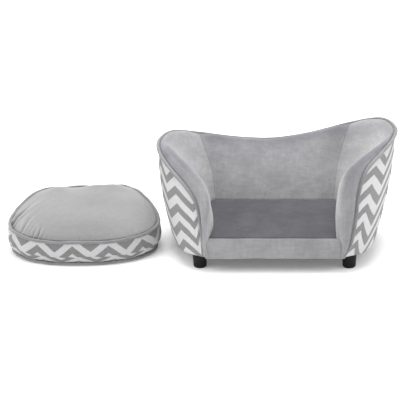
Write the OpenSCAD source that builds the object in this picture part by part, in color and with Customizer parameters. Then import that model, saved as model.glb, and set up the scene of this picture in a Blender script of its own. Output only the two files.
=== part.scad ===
// Small sofa bed for a dog, with a loose zipped cushion beside it.
// One padded wall runs from the left front up over two wings and along a
// lower back. Its inside is velvet over foam, its outside a zigzag weave.
// +X is the sitter's right in front view, +Y runs to the back, +Z is up.
// The origin is on the floor under the centre of the whole set.

/* [Sofa] */
// Width over the two wings
sofa_w = 700; // [640:1:760]
// Depth from the front padding to the back
sofa_d = 421; // [390:1:460]
// Height of the taller, right wing
right_wing_h = 320; // [308:1:345]
// Height of the lower, left wing
left_wing_h = 282; // [272:1:300]
// Height of the back at its lowest, in the middle
back_h = 243; // [233:1:258]
// Width of the upholstered body low down
base_w = 586; // [560:1:610]
// Height of the covers' lower edge over the floor
underside_h = 43; // [36:1:50]

/* [Seat] */
// Height of the seat
seat_h = 104; // [98:1:112]
// Width between the arms at the front
seat_w = 352; // [335:1:365]
// Depth from the front seam to the back padding
seat_d = 284; // [270:1:296]
// Thickness of the seat's foam
seat_foam_t = 25; // [18:1:28]
// Thickness of the seat's cover
seat_cover_t = 2.5; // [2:0.1:4]

/* [Walls] */
// Thickness of the woven outer cover
outer_cover_t = 2; // [1.2:0.1:3]
// Thickness of the bent boards
board_t = 9; // [6:0.5:10]
// Thickness of the velvet inner cover
inner_cover_t = 2.5; // [1.5:0.1:4]
// Radius of the cord along the rim
rim_cord_r = 4.5; // [3.5:0.1:5.5]
// How far the outside swells between bottom and rim
side_bulge = 12; // [6:1:16]
// How far the foam swells towards the seat
pad_bulge = 10; // [4:1:14]
// Height of the padding over the rim at the arms' front
crest_rise = 24; // [12:1:28]
// How deep the inner covers reach behind the seat
tuck_h = 20; // [12:1:22]

/* [Frame] */
// Thickness of the base plate
plate_t = 9; // [8:1:12]
// Thickness of the seat board
seat_board_t = 9; // [8:1:12]
// Width of the bearers under the seat board
bearer_w = 18; // [14:1:24]
// Thickness of the front rail
rail_t = 12; // [9:1:15]
// Thickness of the apron's velvet and its wadding
apron_t = 3; // [2:0.1:4]
// Thickness of the dust cover under the base plate
dust_cover_t = 1; // [0.6:0.1:1.5]

/* [Feet] */
// Radius of a foot where it meets the sofa
foot_top_r = 21; // [18:0.5:24]
// Radius of a foot low down
foot_bottom_r = 18.5; // [15:0.5:20]
// Radius of the foot's lower edge
foot_edge_r = 3; // [1:0.5:5]
// Gap between a front foot's nut and the bent board behind the cover
front_foot_clear = 2.2; // [1:0.1:6]
// The same gap at a rear foot
rear_foot_clear = 29; // [10:1:35]
// Thread radius of the bolt in a foot
bolt_r = 3.9; // [2.9:0.1:5]
// Length of the bolt
bolt_l = 42; // [36:1:50]

/* [Cushion] */
// Width of the cushion
cushion_w = 434; // [410:1:460]
// Depth of the cushion
cushion_d = 376; // [350:1:390]
// Height of its upper cord at the front
cushion_front_h = 76; // [66:1:86]
// Height of its upper cord at the back
cushion_back_h = 96; // [84:1:102]
// Height of the crown over the upper cord
cushion_crown = 30; // [15:1:40]
// How far the slack band swells
band_bulge = 7; // [3:0.5:10]
// Radius of the cushion's two cords
cushion_cord_r = 4; // [3:0.1:5]
// Thickness of the cushion's cover
cushion_cover_t = 2; // [1.2:0.1:3]
// Gap between the cushion and the sofa's side
cushion_gap = 10; // [6:1:40]
// Turn of the cushion towards the viewer, in degrees
cushion_turn = 3; // [0:0.1:12]

/* [Zip] */
// Length of the zip in the cushion's rear band
zip_l = 200; // [150:1:210]
// Width of the zip's tape
zip_tape_w = 13; // [11:0.5:14]
// Thickness of the tape
zip_tape_t = 0.8; // [0.5:0.1:1]
// Width of the coil
zip_coil_w = 4.5; // [3:0.5:6]
// Thickness of the coil
zip_coil_t = 1.8; // [1.2:0.1:2.5]
// Length of the slider
slider_l = 10; // [8:0.5:13]
// Wall of the slider
slider_wall = 1.2; // [0.8:0.1:1.8]
// Length of the pull
pull_l = 24; // [16:1:32]
// Width of the pull
pull_w = 6; // [4:0.5:8]
// Thickness of the pull
pull_t = 1.4; // [1:0.1:2]

/* [Clearances] */
// Gap between stacked layers and between neighbouring pieces
layer_gap = 0.3; // [0.2:0.05:0.5]
// Radial clearance of bolts, nuts and pins
fit_gap = 0.1; // [0.05:0.05:0.2]

/* [Hidden] */
$fn = 32;

velvet = [0.66, 0.66, 0.67];
seat_velvet = [0.43, 0.43, 0.45];
weave = [0.78, 0.78, 0.78];
cord_velvet = [0.6, 0.6, 0.61];
wood = [0.76, 0.62, 0.44];
foam = [0.9, 0.87, 0.78];
black_plastic = [0.1, 0.1, 0.105];
steel = [0.62, 0.63, 0.65];
black_cloth = [0.14, 0.14, 0.15];
zip_metal = [0.55, 0.55, 0.57];

// Driving curves of the wall. Each table has a row per station: station 0
// is at the foot of an arm's front edge, 8 at the top of the wing, 9 at
// the seam between arm and back, and 11 in the middle of the back.
// Across and along are shares of half the width and half the depth, and
// up is a share of the rise from the underside to the wing, or behind the
// wing from the back's height to the wing.
last_station = 11;
last_front_station = 8;
seam_station = 9;
right_rim_shares = [
  [0.540, -0.976, 0], [0.587, -0.966, 0.16], [0.613, -0.937, 0.41],
  [0.645, -0.854, 0.65], [0.728, -0.640, 0.85], [0.867, -0.218, 0.915],
  [0.971, 0.194, 0.947], [1, 0.510, 0.986], [0.890, 0.806, 1],
  [0.642, 0.942, 0.69], [0.303, 0.990, 0.23], [0, 1, 0]];
left_rim_shares = [
  [0.540, -0.976, 0], [0.575, -0.966, 0.185], [0.595, -0.937, 0.424],
  [0.627, -0.854, 0.646], [0.723, -0.631, 0.794], [0.864, -0.218, 0.893],
  [0.951, 0.146, 0.959], [0.958, 0.485, 0.996], [0.855, 0.796, 1],
  [0.642, 0.922, 0.615], [0.303, 0.985, 0.10], [0, 1, 0]];
// The padding's crest inside the rim, with its height over the rim as a
// share of crest_rise
right_crest_shares = [
  [0.540, -0.995, 0], [0.549, -1.010, 0.17], [0.540, -1.018, 0.29],
  [0.540, -0.995, 0.58], [0.572, -0.801, 0.50], [0.711, -0.379, 0.17],
  [0.861, 0.039, -0.12], [0.931, 0.408, -0.33], [0.844, 0.689, -0.29],
  [0.618, 0.825, -0.04], [0.289, 0.874, 0], [0, 0.883, 0.04]];
left_crest_shares = [
  [0.538, -0.995, 0], [0.540, -1.010, 0.08], [0.526, -1.018, 0.37],
  [0.532, -0.985, 1], [0.584, -0.728, 1.08], [0.702, -0.267, 0.46],
  [0.824, 0.107, 0.17], [0.882, 0.408, -0.04], [0.810, 0.680, -0.08],
  [0.624, 0.816, -0.04], [0.289, 0.874, 0], [0, 0.883, 0.04]];
// The line where the padding meets the apron and the seat: across as a
// share of half the seat's width, back from the front seam as a share of
// its depth, and up as a share of its height over the underside
seat_edge_shares = [
  [1.057, 0, 0], [1.068, -0.007, 0.67], [1, 0.014, 1],
  [0.989, 0.151, 1], [0.989, 0.327, 1], [1.006, 0.556, 1],
  [1.040, 0.768, 1], [1.063, 0.891, 1], [1.057, 0.961, 1],
  [0.977, 0.993, 1], [0.483, 1, 1], [0, 1, 1]];
// The covers' lower edge outside, level all the way round
bottom_edge_shares = [
  [0.640, -0.972], [0.669, -0.937], [0.715, -0.898], [0.783, -0.845],
  [0.876, -0.728], [0.962, -0.413], [1, 0], [0.982, 0.364],
  [0.880, 0.670], [0.687, 0.806], [0.343, 0.864], [0, 0.879]];
// How much of the tuck each station has: none beside the apron
tuck_shares = [0, 0, 0.5, 1, 1, 1, 1, 1, 1, 1, 1, 1];

half_w = sofa_w / 2 - rim_cord_r;
half_d = sofa_d / 2 - rim_cord_r;
front_y_share = -0.985;
front_y = front_y_share * half_d;
dust_z = underside_h;
plate_z = dust_z + dust_cover_t;
plate_top = plate_z + plate_t;
seat_foam_top = seat_h - seat_cover_t;
seat_board_top = seat_foam_top - seat_foam_t;
seat_board_z = seat_board_top - seat_board_t;
bearer_h = seat_board_z - plate_top;

function lerp(a, b, t) = a + (b - a) * t;
function unit(v) = v / norm(v);
function flip_x(p) = [-p[0], p[1], p[2]];

// The point at place t on a smooth curve through the points
function curve_at(p, t) =
  let (n = len(p) - 1, i = min(floor(t), n - 1), f = t - i,
    a = i > 0 ? p[i - 1] : 2 * p[0] - p[1], b = p[i], c = p[i + 1],
    d = i + 2 <= n ? p[i + 2] : 2 * p[n] - p[n - 1])
  (2 * b + (c - a) * f + (2 * a - 5 * b + 4 * c - d) * f * f
    + (3 * b - a - 3 * c + d) * f * f * f) / 2;

function rim_point(row, i, wing_h) =
  let (low = i <= last_front_station ? underside_h : back_h)
  [row[0] * half_w, row[1] * half_d, lerp(low, wing_h, row[2])];
function crest_point(row, rim_p) =
  [row[0] * half_w, row[1] * half_d, rim_p[2] + row[2] * crest_rise];
function seat_point(row) =
  [row[0] * seat_w / 2, front_y + row[1] * seat_d,
    lerp(underside_h, seat_h, row[2])];
function bottom_point(row) =
  [row[0] * base_w / 2, row[1] * half_d, underside_h];

// A left and a right half joined into one run, left front to right front
function both(left, right) =
  concat([for (p = left) flip_x(p)],
    [for (i = [last_station - 1:-1:0]) right[i]]);

stations = [0:last_station];
right_rim = [for (i = stations)
  rim_point(right_rim_shares[i], i, right_wing_h)];
left_rim = [for (i = stations)
  rim_point(left_rim_shares[i], i, left_wing_h)];
right_crest = [for (i = stations)
  crest_point(right_crest_shares[i], right_rim[i])];
left_crest = [for (i = stations)
  crest_point(left_crest_shares[i], left_rim[i])];
seat_half = [for (row = seat_edge_shares) seat_point(row)];
bottom_half = [for (row = bottom_edge_shares) bottom_point(row)];

rim = both(left_rim, right_rim);
crest = both(left_crest, right_crest);
seat_edge = both(seat_half, seat_half);
bottom_edge = both(bottom_half, bottom_half);
tucks = concat([for (s = tuck_shares) s * tuck_h],
  [for (i = [last_station - 1:-1:0]) tuck_shares[i] * tuck_h]);

// Where the wall is cut into facets, in shares of a station's step: closer
// over the wings.
// An arm starts a little above its foot and ends at the seam to the back.
end_station = 2 * last_station;
arm_start_share = 0.15;
seam_share = 0.005;
arm_end = seam_station - seam_share;
back_start = seam_station + seam_share;
arm_cuts = concat([arm_start_share], [for (i = [1:12]) i / 2],
  [for (i = [1:6]) 6 + i * 0.4], [arm_end]);
back_cuts = concat([back_start], [for (i = [19:25]) i / 2],
  [end_station - back_start]);
function mirrored(cuts) =
  [for (i = [len(cuts) - 1:-1:0]) end_station - cuts[i]];
right_arm_cuts = mirrored(arm_cuts);
core_start_share = 1.5;
function core_cuts(cuts, start = core_start_share) = [for (u = cuts)
  if (u >= start && u <= end_station - start) u];

// The level direction from the outside into the wall at a place
tangent_share = 0.05;
function inward(u) =
  let (a = max(u - tangent_share, 0), b = min(u + tangent_share, end_station),
    t = unit(curve_at(bottom_edge, b) - curve_at(bottom_edge, a)))
  [t[1], -t[0], 0];

// The outer face: from the lower edge to the seam under the rim's cord
seam_r = rim_cord_r + 2 * layer_gap;
function rim_along(u) =
  unit(curve_at(rim, min(u + tangent_share, end_station))
    - curve_at(rim, max(u - tangent_share, 0)));
// What is left of v when its share along the rim is taken off
function off_rim(u, v) = let (t = rim_along(u)) unit(v - t * (v * t));
// A face lower than this swells less
bulge_ref_share = 0.75;
bulge_ref = bulge_ref_share * (back_h - underside_h);
function outer_seam(u) =
  let (r = curve_at(rim, u), b = curve_at(bottom_edge, u))
  r + off_rim(u, b - r) * seam_r;
function outer_at(u, v) =
  let (b = curve_at(bottom_edge, u), e = outer_seam(u))
  lerp(b, e, v) - inward(u) * side_bulge * 4 * v * (1 - v)
    * min(1, norm(e - b) / bulge_ref);

// Levels of the outer face. The boards and the foam take those between
// the first and the last, so that the layers' facets lie on each other.
core_levels = 8;
core_top_share = 0.93;
core_foot_share = 0.3;
function core_foot(u) =
  let (e = outer_seam(u))
  min(core_foot_share,
    (plate_top + layer_gap - underside_h) / (e[2] - underside_h));
function core_at(u, j) =
  outer_at(u, lerp(core_foot(u), core_top_share, j / (core_levels - 1)));
function outer_column(u) =
  concat([outer_at(u, 0)], [for (j = [0:core_levels - 1]) core_at(u, j)],
    [outer_at(u, 1)]);
function core_column(u, depth) =
  [for (j = [0:core_levels - 1]) core_at(u, j) + inward(u) * depth];

// The inner face: from behind the seat over the swelling foam and the
// crest to the seam at the rim's cord
inner_places = [3, 2.5, 2, 1.5, 1, 0.6, 0.3];
function inner_seam(u) =
  let (r = curve_at(rim, u))
  r + off_rim(u, curve_at(crest, u) - r) * seam_r;
function pad_middle(u) =
  let (k = curve_at(crest, u), s = curve_at(seat_edge, u),
    m = (k + s) / 2, to_seat = unit([-m[0], -m[1] / 2, 0]))
  m + to_seat * pad_bulge * min(1, norm(k - s) / bulge_ref);
function inner_at(u, t) =
  curve_at([inner_seam(u), curve_at(crest, u), pad_middle(u),
    curve_at(seat_edge, u)], t);
function inner_column(u) =
  concat([curve_at(seat_edge, u) - [0, 0, curve_at(tucks, u)]],
    [for (t = inner_places) inner_at(u, t)], [inner_at(u, 0)]);
// The same face set back into the wall, level by level
spine_depth = outer_cover_t + board_t + 3 * layer_gap;
function spine_at(u, j) =
  core_at(u, min(j, core_levels - 1)) + inward(u) * spine_depth;
function seam_back(u, to_spine) =
  let (n = cross(rim_along(u), off_rim(u, curve_at(crest, u)
    - curve_at(rim, u))))
  n * to_spine > 0 ? n : -n;
function inner_back_column(u, depth) =
  let (c = inner_column(u), last = len(c) - 1)
  [for (j = [0:last])
    let (d = spine_at(u, j) - c[j])
    c[j] + (j == last ? seam_back(u, d) : unit(d)) * depth];

function reversed(l) = [for (i = [len(l) - 1:-1:0]) l[i]];
function first_of(l, n) = [for (i = [0:n - 1]) l[i]];

// A solid lofted through rings of one even count of points. The first
// half of each ring is one face and the second half, run back, the other.
function ring_faces(rings, count, closed) =
  [for (i = [0:rings - (closed ? 1 : 2)]) for (j = [0:count - 1])
    let (a = i * count + j, b = i * count + (j + 1) % count,
      n = ((i + 1) % rings) * count,
      c = n + (j + 1) % count, d = n + j)
    each (j < count / 2 ? [[a, c, b], [a, d, c]] : [[a, d, b], [b, d, c]])];
function cap_faces(at, count, flip) =
  [for (j = [0:count / 2 - 2])
    let (a = at + j, b = at + j + 1, c = at + count - 2 - j,
      d = at + count - 1 - j)
    each (flip ? [[a, c, b], [a, d, c]] : [[a, b, c], [a, c, d]])];
module loft(rings, closed = false) {
  count = len(rings[0]);
  n = len(rings);
  caps = closed ? [] : concat(cap_faces(0, count, false),
    cap_faces((n - 1) * count, count, true));
  polyhedron(points = [for (r = rings) each r],
    faces = concat(ring_faces(n, count, closed), caps), convexity = 8);
}

function outer_cover_rings(cuts) = [for (u = cuts)
  let (c = outer_column(u))
  concat(c, reversed([for (p = c) p + inward(u) * outer_cover_t]))];
function board_rings(cuts) = [for (u = cuts)
  let (near = outer_cover_t + layer_gap)
  concat(core_column(u, near), reversed(core_column(u, near + board_t)))];
function foam_rings(cuts) = [for (u = cuts)
  concat(core_column(u, outer_cover_t + board_t + 2 * layer_gap),
    reversed(first_of(inner_back_column(u, inner_cover_t + layer_gap),
      core_levels)))];
function inner_cover_rings(cuts) = [for (u = cuts)
  concat(inner_back_column(u, inner_cover_t), reversed(inner_column(u)))];

// The rim's cord
cord_sides = 8;
cord_start_share = 0.2;
cord_cuts = concat([cord_start_share], [for (i = [1:12]) i / 2],
  [for (i = [1:6]) 6 + i * 0.4], [9], [for (i = [19:25]) i / 2], [13],
  [for (i = [6:-1:1]) end_station - 6 - i * 0.4],
  [for (i = [12:-1:1]) end_station - i / 2], [end_station - cord_start_share]);
function cord_ring(u) =
  let (c = curve_at(rim, u), t = rim_along(u),
    side = unit(cross(t, inward(u))), top = cross(t, side))
  [for (k = [0:cord_sides - 1])
    let (g = (k + 0.5) * 360 / cord_sides)
    c + rim_cord_r * (side * cos(g) + top * sin(g))];
rim_cord_rings = [for (u = cord_cuts) cord_ring(u)];

// The cushion in its own frame: its centre over the origin, front to -Y.
// Half its plan from the front's middle round the right side to the back's
// middle, in shares of half its width and half its depth. The back edge is
// straight as far as the third point from the end, for the zip.
half_plan_shares = [[0, -1], [0.26, -0.985], [0.50, -0.93], [0.73, -0.81],
  [0.90, -0.63], [0.99, -0.40], [1, -0.15], [0.94, 0.19], [0.83, 0.53],
  [0.69, 0.84], [0.50, 1], [0.25, 1], [0, 1]];
plan_n = len(half_plan_shares) - 1;
plan_shares = concat(half_plan_shares,
  [for (i = [plan_n - 1:-1:1]) [-half_plan_shares[i][0],
    half_plan_shares[i][1]]]);
plan_ring = [for (p = plan_shares)
  [p[0] * cushion_w / 2, p[1] * cushion_d / 2]];
plan_count = len(plan_ring);
// The ring's points, with one more between each two on the rounded part
plan_cuts = [for (i = [0:plan_count - 1])
  each (abs(i - plan_n) <= 2 && i != plan_n + 2 ? [i] : [i, i + 0.5])];
function plan_at(t) =
  let (i = floor(t), f = t - i,
    p = [for (k = [-1:2]) plan_ring[(i + k + plan_count) % plan_count]])
  curve_at(p, 1 + f);
function plan_out(t) =
  let (i = round(t * 2) / 2,
    d = unit(plan_at(i + tangent_share) - plan_at(i - tangent_share)))
  abs(i - plan_n) < 2 ? [0, 1] : [d[1], -d[0]];
function outline_point(t, inset) = plan_at(t) - plan_out(t) * inset;
function outline(inset) = [for (t = plan_cuts) outline_point(t, inset)];
// Height of the upper cord's centre: the back stands higher
function upper_z(y) = lerp(cushion_front_h, cushion_back_h,
  (y + cushion_d / 2) / cushion_d) - cushion_cord_r;
lower_z = cushion_cord_r + cushion_cover_t / 4;
cord_inset = cushion_cord_r;
seam_inset = cord_inset + cushion_cord_r + layer_gap;
// The slack band: height as a share of its own and swell as a share of
// band_bulge, with a crease low down and an upright stretch for the zip
band_shares = [[0, 0], [0.17, 0.95], [0.36, 0.25], [0.56, 1], [0.84, 1],
  [1, 0.1]];
zip_row = 3;
function band_z(y, share) =
  lerp(lower_z, upper_z(y), 0.5)
    + (share - 0.5) * (upper_z(y) - lower_z - 2 * (cushion_cord_r + layer_gap));
function band_column(t, depth) =
  [for (row = band_shares)
    let (p = outline_point(t, cord_inset + depth - row[1] * band_bulge),
      q = outline_point(t, cord_inset))
    [p[0], p[1], band_z(q[1], row[0])]];
band_rings = [for (t = plan_cuts)
  concat(band_column(t, 0), reversed(band_column(t, cushion_cover_t)))];
cord_loop_sides = 6;
function cord_loop(z_of) = [for (t = plan_cuts)
  let (q = outline_point(t, cord_inset), z = z_of(q[1]))
  [for (s = [0:cord_loop_sides - 1])
    let (g = s * 360 / cord_loop_sides,
      p = outline_point(t, cord_inset - cushion_cord_r * cos(g)))
    [p[0], p[1], z + cushion_cord_r * sin(g)]]];
upper_cord_rings = cord_loop(function (y) upper_z(y));
lower_cord_rings = cord_loop(function (y) lower_z);

// The crowned panel: rings drawn in to the middle by a share of the plan
crown_shares = [1, 0.95, 0.86, 0.72, 0.52, 0.3, 0.1];
crown_power = 2.2;
function crown_ring(f, inset, drop) = [for (q = outline(inset))
  [q[0] * f, q[1] * f,
    upper_z(q[1] * f) - drop + cushion_crown * (1 - pow(f, crown_power))]];
panel_rings = concat(
  [for (f = reversed(crown_shares))
    crown_ring(f, seam_inset, cushion_cover_t / 2)],
  [for (f = crown_shares) crown_ring(f, seam_inset, -cushion_cover_t / 2)]);
fill_inset = cord_inset + cushion_cover_t + layer_gap;
fill_drop = cushion_cover_t / 2 + layer_gap;
function fill_side_ring(row) =
  let (h = row[0], swell = row[1])
  [for (t = plan_cuts)
    let (p = outline_point(t, fill_inset - swell * band_bulge),
      q = outline_point(t, cord_inset))
    [p[0], p[1], band_z(q[1], h)]];
fill_rings = concat(
  [for (z = [cushion_cover_t + layer_gap, lower_z + cushion_cord_r / 2])
    [for (q = outline(seam_inset + layer_gap)) [q[0], q[1], z]]],
  [for (row = band_shares) fill_side_ring(row)],
  [for (f = crown_shares)
    crown_ring(f, seam_inset + fill_drop, fill_drop)]);

// The zip, flat on the upright stretch of the rear band, in the cushion's
// frame
zip_y = cushion_d / 2 - cord_inset + band_bulge + layer_gap;
zip_z = (band_z(cushion_d / 2, band_shares[zip_row][0])
  + band_z(cushion_d / 2, band_shares[zip_row + 1][0])) / 2;
zip_coil_l = zip_l - 2 * slider_wall;
slider_y = zip_y + zip_tape_t + layer_gap;
slider_w = zip_coil_w + 2 * (slider_wall + layer_gap);
slider_t = zip_coil_t + slider_wall + layer_gap;
slider_x = zip_l / 2 - slider_l;
pin_share = 0.65;
pin_r = pin_share * pull_t;
eye_r = pin_r + fit_gap + pull_t / 2;
pin_y = slider_y + slider_t + eye_r + layer_gap;
ear_w = slider_wall;

// Where the cushion stands: clear of the sofa's left side, its front
// turned to the viewer
wall_left = min([for (u = arm_cuts) for (j = [0:1])
  outer_at(u, core_foot(u) + j / 4)[0]]);
function turned(p) =
  [p[0] * cos(cushion_turn) - p[1] * sin(cushion_turn),
    p[0] * sin(cushion_turn) + p[1] * cos(cushion_turn), p[2]];
band_points = [for (r = band_rings) for (p = r) turned(p)];
cushion_right = max([for (p = band_points) p[0]]);
cushion_front = min([for (p = band_points) p[1]]);
cushion_x = wall_left - cushion_gap - cushion_right;
cushion_y_share = -0.83;
cushion_y = cushion_y_share * half_d - cushion_front;

// The set's corners on the floor, and the shift that centres it
cord_points = [for (r = rim_cord_rings) each r];
front_points = [for (u = arm_cuts) for (p = inner_column(u)) p[1]];
right_front_points = [for (u = right_arm_cuts)
  for (p = inner_column(u)) p[1]];
set_left = cushion_x + min([for (p = band_points) p[0]]);
set_right = max([for (p = cord_points) p[0]]);
set_front = min(concat(front_points, right_front_points));
set_back = max(concat([for (p = cord_points) p[1]],
  [cushion_y + turned([slider_x, pin_y, 0])[1] + eye_r]));
centre_shift = [-(set_left + set_right) / 2, -(set_front + set_back) / 2, 0];

module in_sofa() { translate(centre_shift) children(); }
module in_cushion() {
  translate(centre_shift + [cushion_x, cushion_y, 0])
    rotate([0, 0, cushion_turn]) children();
}

// Plan outlines at the base and at the seat
function base_outline(inset) =
  let (front = front_y + apron_t + layer_gap,
    round_cuts = core_cuts(concat(arm_cuts, back_cuts, right_arm_cuts), 1))
  concat([[-seat_w / 2, front]],
    [for (u = round_cuts)
      let (p = outer_at(u, 0) + inward(u) * inset) [p[0], p[1]]],
    [[seat_w / 2, front]]);
seat_start_share = 2;
seat_side_share = 2;
seat_back_share = 3;
seat_cuts = [for (u = concat(arm_cuts, back_cuts, right_arm_cuts))
  if (u >= seat_start_share && u <= end_station - seat_start_share) u];
seat_clear = 2 * layer_gap;
function seat_outline(inset) =
  let (front = front_y + apron_t + layer_gap + inset,
    run = [for (u = seat_cuts)
      let (p = curve_at(seat_edge, u), s = p[0] < 0 ? -1 : 1,
        middle = abs(u - last_station) < seat_side_share)
      [middle ? p[0] - s * inset * abs(p[0]) / (seat_w / 2)
          : p[0] - s * (inset + seat_clear),
        p[1] - (abs(u - last_station) <= seat_back_share
          ? inset + seat_clear : 0)]])
  concat([[run[0][0], front]], [for (p = run) [p[0], max(p[1], front)]],
    [[run[len(run) - 1][0], front]]);

// Places of the feet: inside the base's edge, by their nuts' room
bolt_hole_r = bolt_r + fit_gap;
nut_wall = 1.6;
nut_r = bolt_r + fit_gap + nut_wall;
nut_flange_r = 2 * nut_r;
nut_flange_t = 2;
front_foot_share = 2.66;
rear_foot_share = 8.82;
function foot_place(side, front) =
  let (u = front ? front_foot_share : rear_foot_share,
    inset = outer_cover_t + board_t + 2 * layer_gap + nut_flange_r
      + (front ? front_foot_clear : rear_foot_clear),
    p = curve_at(bottom_edge, u) + inward(u) * inset)
  [-side * p[0], p[1], 0];
bolt_z = plate_top + nut_flange_t + layer_gap - bolt_l;

module base_plate() {
  color(wood) in_sofa() difference() {
    translate([0, 0, plate_z]) linear_extrude(plate_t)
      polygon(base_outline(outer_cover_t + layer_gap));
    for (s = [-1, 1]) for (f = [true, false])
      translate(foot_place(s, f)) cylinder(h = seat_h, r = nut_r + fit_gap);
  }
}

// Bearers: strips between the base plate and the seat board
bearer_x = seat_w / 2 - bearer_w;
bearer_front = front_y + apron_t + 2 * layer_gap + rail_t;
bearer_back = front_y + seat_d - 2 * bearer_w;
module side_bearer(s) {
  color(wood) in_sofa()
    translate([s > 0 ? bearer_x - bearer_w : -bearer_x,
        bearer_front + bearer_w + layer_gap, plate_top])
      cube([bearer_w, bearer_back - bearer_front - bearer_w - 2 * layer_gap,
        bearer_h]);
}
module cross_bearer(y) {
  color(wood) in_sofa() translate([-bearer_x, y, plate_top])
    cube([2 * bearer_x, bearer_w, bearer_h]);
}
module left_bearer() { side_bearer(-1); }
module right_bearer() { side_bearer(1); }
module front_bearer() { cross_bearer(bearer_front); }
module back_bearer() { cross_bearer(bearer_back); }

rail_y = front_y + apron_t + layer_gap;
module front_rail() {
  color(wood) in_sofa() translate([-bearer_x, rail_y, plate_top])
    cube([2 * bearer_x, rail_t, seat_board_top - plate_top]);
}
module seat_board() {
  color(wood) in_sofa() translate([0, 0, seat_board_z])
    linear_extrude(seat_board_t) intersection() {
      polygon(seat_outline(bearer_w / 2));
      translate([-seat_w, rail_y + rail_t + layer_gap])
        square([2 * seat_w, seat_d]);
    }
}
module left_arm_board() {
  color(wood) in_sofa() loft(board_rings(core_cuts(arm_cuts)));
}
module right_arm_board() {
  color(wood) in_sofa() loft(board_rings(core_cuts(right_arm_cuts)));
}
module back_board() {
  color(wood) in_sofa() loft(board_rings(back_cuts));
}

module left_arm_foam() {
  color(foam) in_sofa() loft(foam_rings(core_cuts(arm_cuts)));
}
module right_arm_foam() {
  color(foam) in_sofa() loft(foam_rings(core_cuts(right_arm_cuts)));
}
module back_foam() {
  color(foam) in_sofa() loft(foam_rings(back_cuts));
}
module seat_foam() {
  color(foam) in_sofa() translate([0, 0, seat_board_top])
    linear_extrude(seat_foam_t - layer_gap)
      polygon(seat_outline(seat_cover_t + layer_gap));
}

// The seat's cover: a lid over the foam with a skirt down to the board
module seat_cover() {
  color(seat_velvet) in_sofa() difference() {
    translate([0, 0, seat_board_top]) linear_extrude(seat_h - seat_board_top)
      polygon(seat_outline(0));
    translate([0, 0, seat_board_top - layer_gap])
      linear_extrude(seat_foam_t + layer_gap)
        polygon(seat_outline(seat_cover_t));
  }
}
module apron_cover() {
  low = seat_half[0];
  mid = seat_half[1];
  top = seat_half[2];
  trim = inner_cover_t;
  side = [[low[0] - trim, underside_h], [mid[0] - trim, mid[2]],
    [top[0] - trim, top[2] - tuck_h / 2], [top[0] - trim, seat_h - layer_gap]];
  color(velvet) in_sofa() translate([0, front_y + apron_t, 0])
    rotate([90, 0, 0]) linear_extrude(apron_t)
      polygon(concat(side, reversed([for (p = side) [-p[0], p[1]]])));
}
module left_arm_cover() {
  color(velvet) in_sofa() loft(inner_cover_rings(arm_cuts));
}
module right_arm_cover() {
  color(velvet) in_sofa() loft(inner_cover_rings(right_arm_cuts));
}
module back_cover() {
  color(velvet) in_sofa() loft(inner_cover_rings(back_cuts));
}
module left_outer_cover() {
  color(weave) in_sofa() loft(outer_cover_rings(arm_cuts));
}
module right_outer_cover() {
  color(weave) in_sofa() loft(outer_cover_rings(right_arm_cuts));
}
module rear_outer_cover() {
  color(weave) in_sofa() loft(outer_cover_rings(back_cuts));
}
module rim_piping() {
  color(cord_velvet) in_sofa() loft(rim_cord_rings);
}
module dust_cover() {
  color(black_cloth) in_sofa() difference() {
    translate([0, 0, dust_z]) linear_extrude(dust_cover_t)
      polygon(base_outline(outer_cover_t + layer_gap));
    for (s = [-1, 1]) for (f = [true, false])
      translate(foot_place(s, f)) cylinder(h = seat_h, r = bolt_hole_r);
  }
}

// A foot: a round leg, narrower below, with a bore for its bolt
module foot(s, f) {
  color(black_plastic) in_sofa() translate(foot_place(s, f)) difference() {
    rotate_extrude() union() {
      polygon([[0, 0], [foot_bottom_r - foot_edge_r, 0],
        [foot_bottom_r, foot_edge_r], [foot_top_r, underside_h],
        [0, underside_h]]);
      intersection() {
        translate([foot_bottom_r - foot_edge_r, foot_edge_r])
          circle(r = foot_edge_r);
        square([foot_top_r, underside_h]);
      }
    }
    translate([0, 0, bolt_z]) cylinder(h = bolt_l, r = bolt_hole_r);
  }
}
module left_front_foot() { foot(-1, true); }
module right_front_foot() { foot(1, true); }
module left_rear_foot() { foot(-1, false); }
module right_rear_foot() { foot(1, false); }

module foot_bolt(s, f) {
  color(steel) in_sofa() translate(foot_place(s, f) + [0, 0, bolt_z])
    cylinder(h = bolt_l, r = bolt_r);
}
module left_front_bolt() { foot_bolt(-1, true); }
module right_front_bolt() { foot_bolt(1, true); }
module left_rear_bolt() { foot_bolt(-1, false); }
module right_rear_bolt() { foot_bolt(1, false); }

// The nut in the base plate: a barrel with a flange on top
module foot_nut(s, f) {
  color(steel) in_sofa() translate(foot_place(s, f) + [0, 0, plate_z])
    difference() {
      union() {
        cylinder(h = plate_t + nut_flange_t, r = nut_r);
        translate([0, 0, plate_t])
          cylinder(h = nut_flange_t, r = nut_flange_r);
      }
      translate([0, 0, -plate_t])
        cylinder(h = 3 * plate_t, r = bolt_hole_r);
    }
}
module left_front_nut() { foot_nut(-1, true); }
module right_front_nut() { foot_nut(1, true); }
module left_rear_nut() { foot_nut(-1, false); }
module right_rear_nut() { foot_nut(1, false); }

module cushion_top() { color(velvet) in_cushion() loft(panel_rings); }
module cushion_bottom() {
  color(velvet) in_cushion() linear_extrude(cushion_cover_t)
    polygon(outline(seam_inset));
}
module cushion_band() {
  color(weave) in_cushion() loft(reversed(band_rings), closed = true);
}
module cushion_upper_piping() {
  color(cord_velvet) in_cushion()
    loft(reversed(upper_cord_rings), closed = true);
}
module cushion_lower_piping() {
  color(cord_velvet) in_cushion()
    loft(reversed(lower_cord_rings), closed = true);
}
module cushion_fill() { color(foam) in_cushion() loft(fill_rings); }

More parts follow.
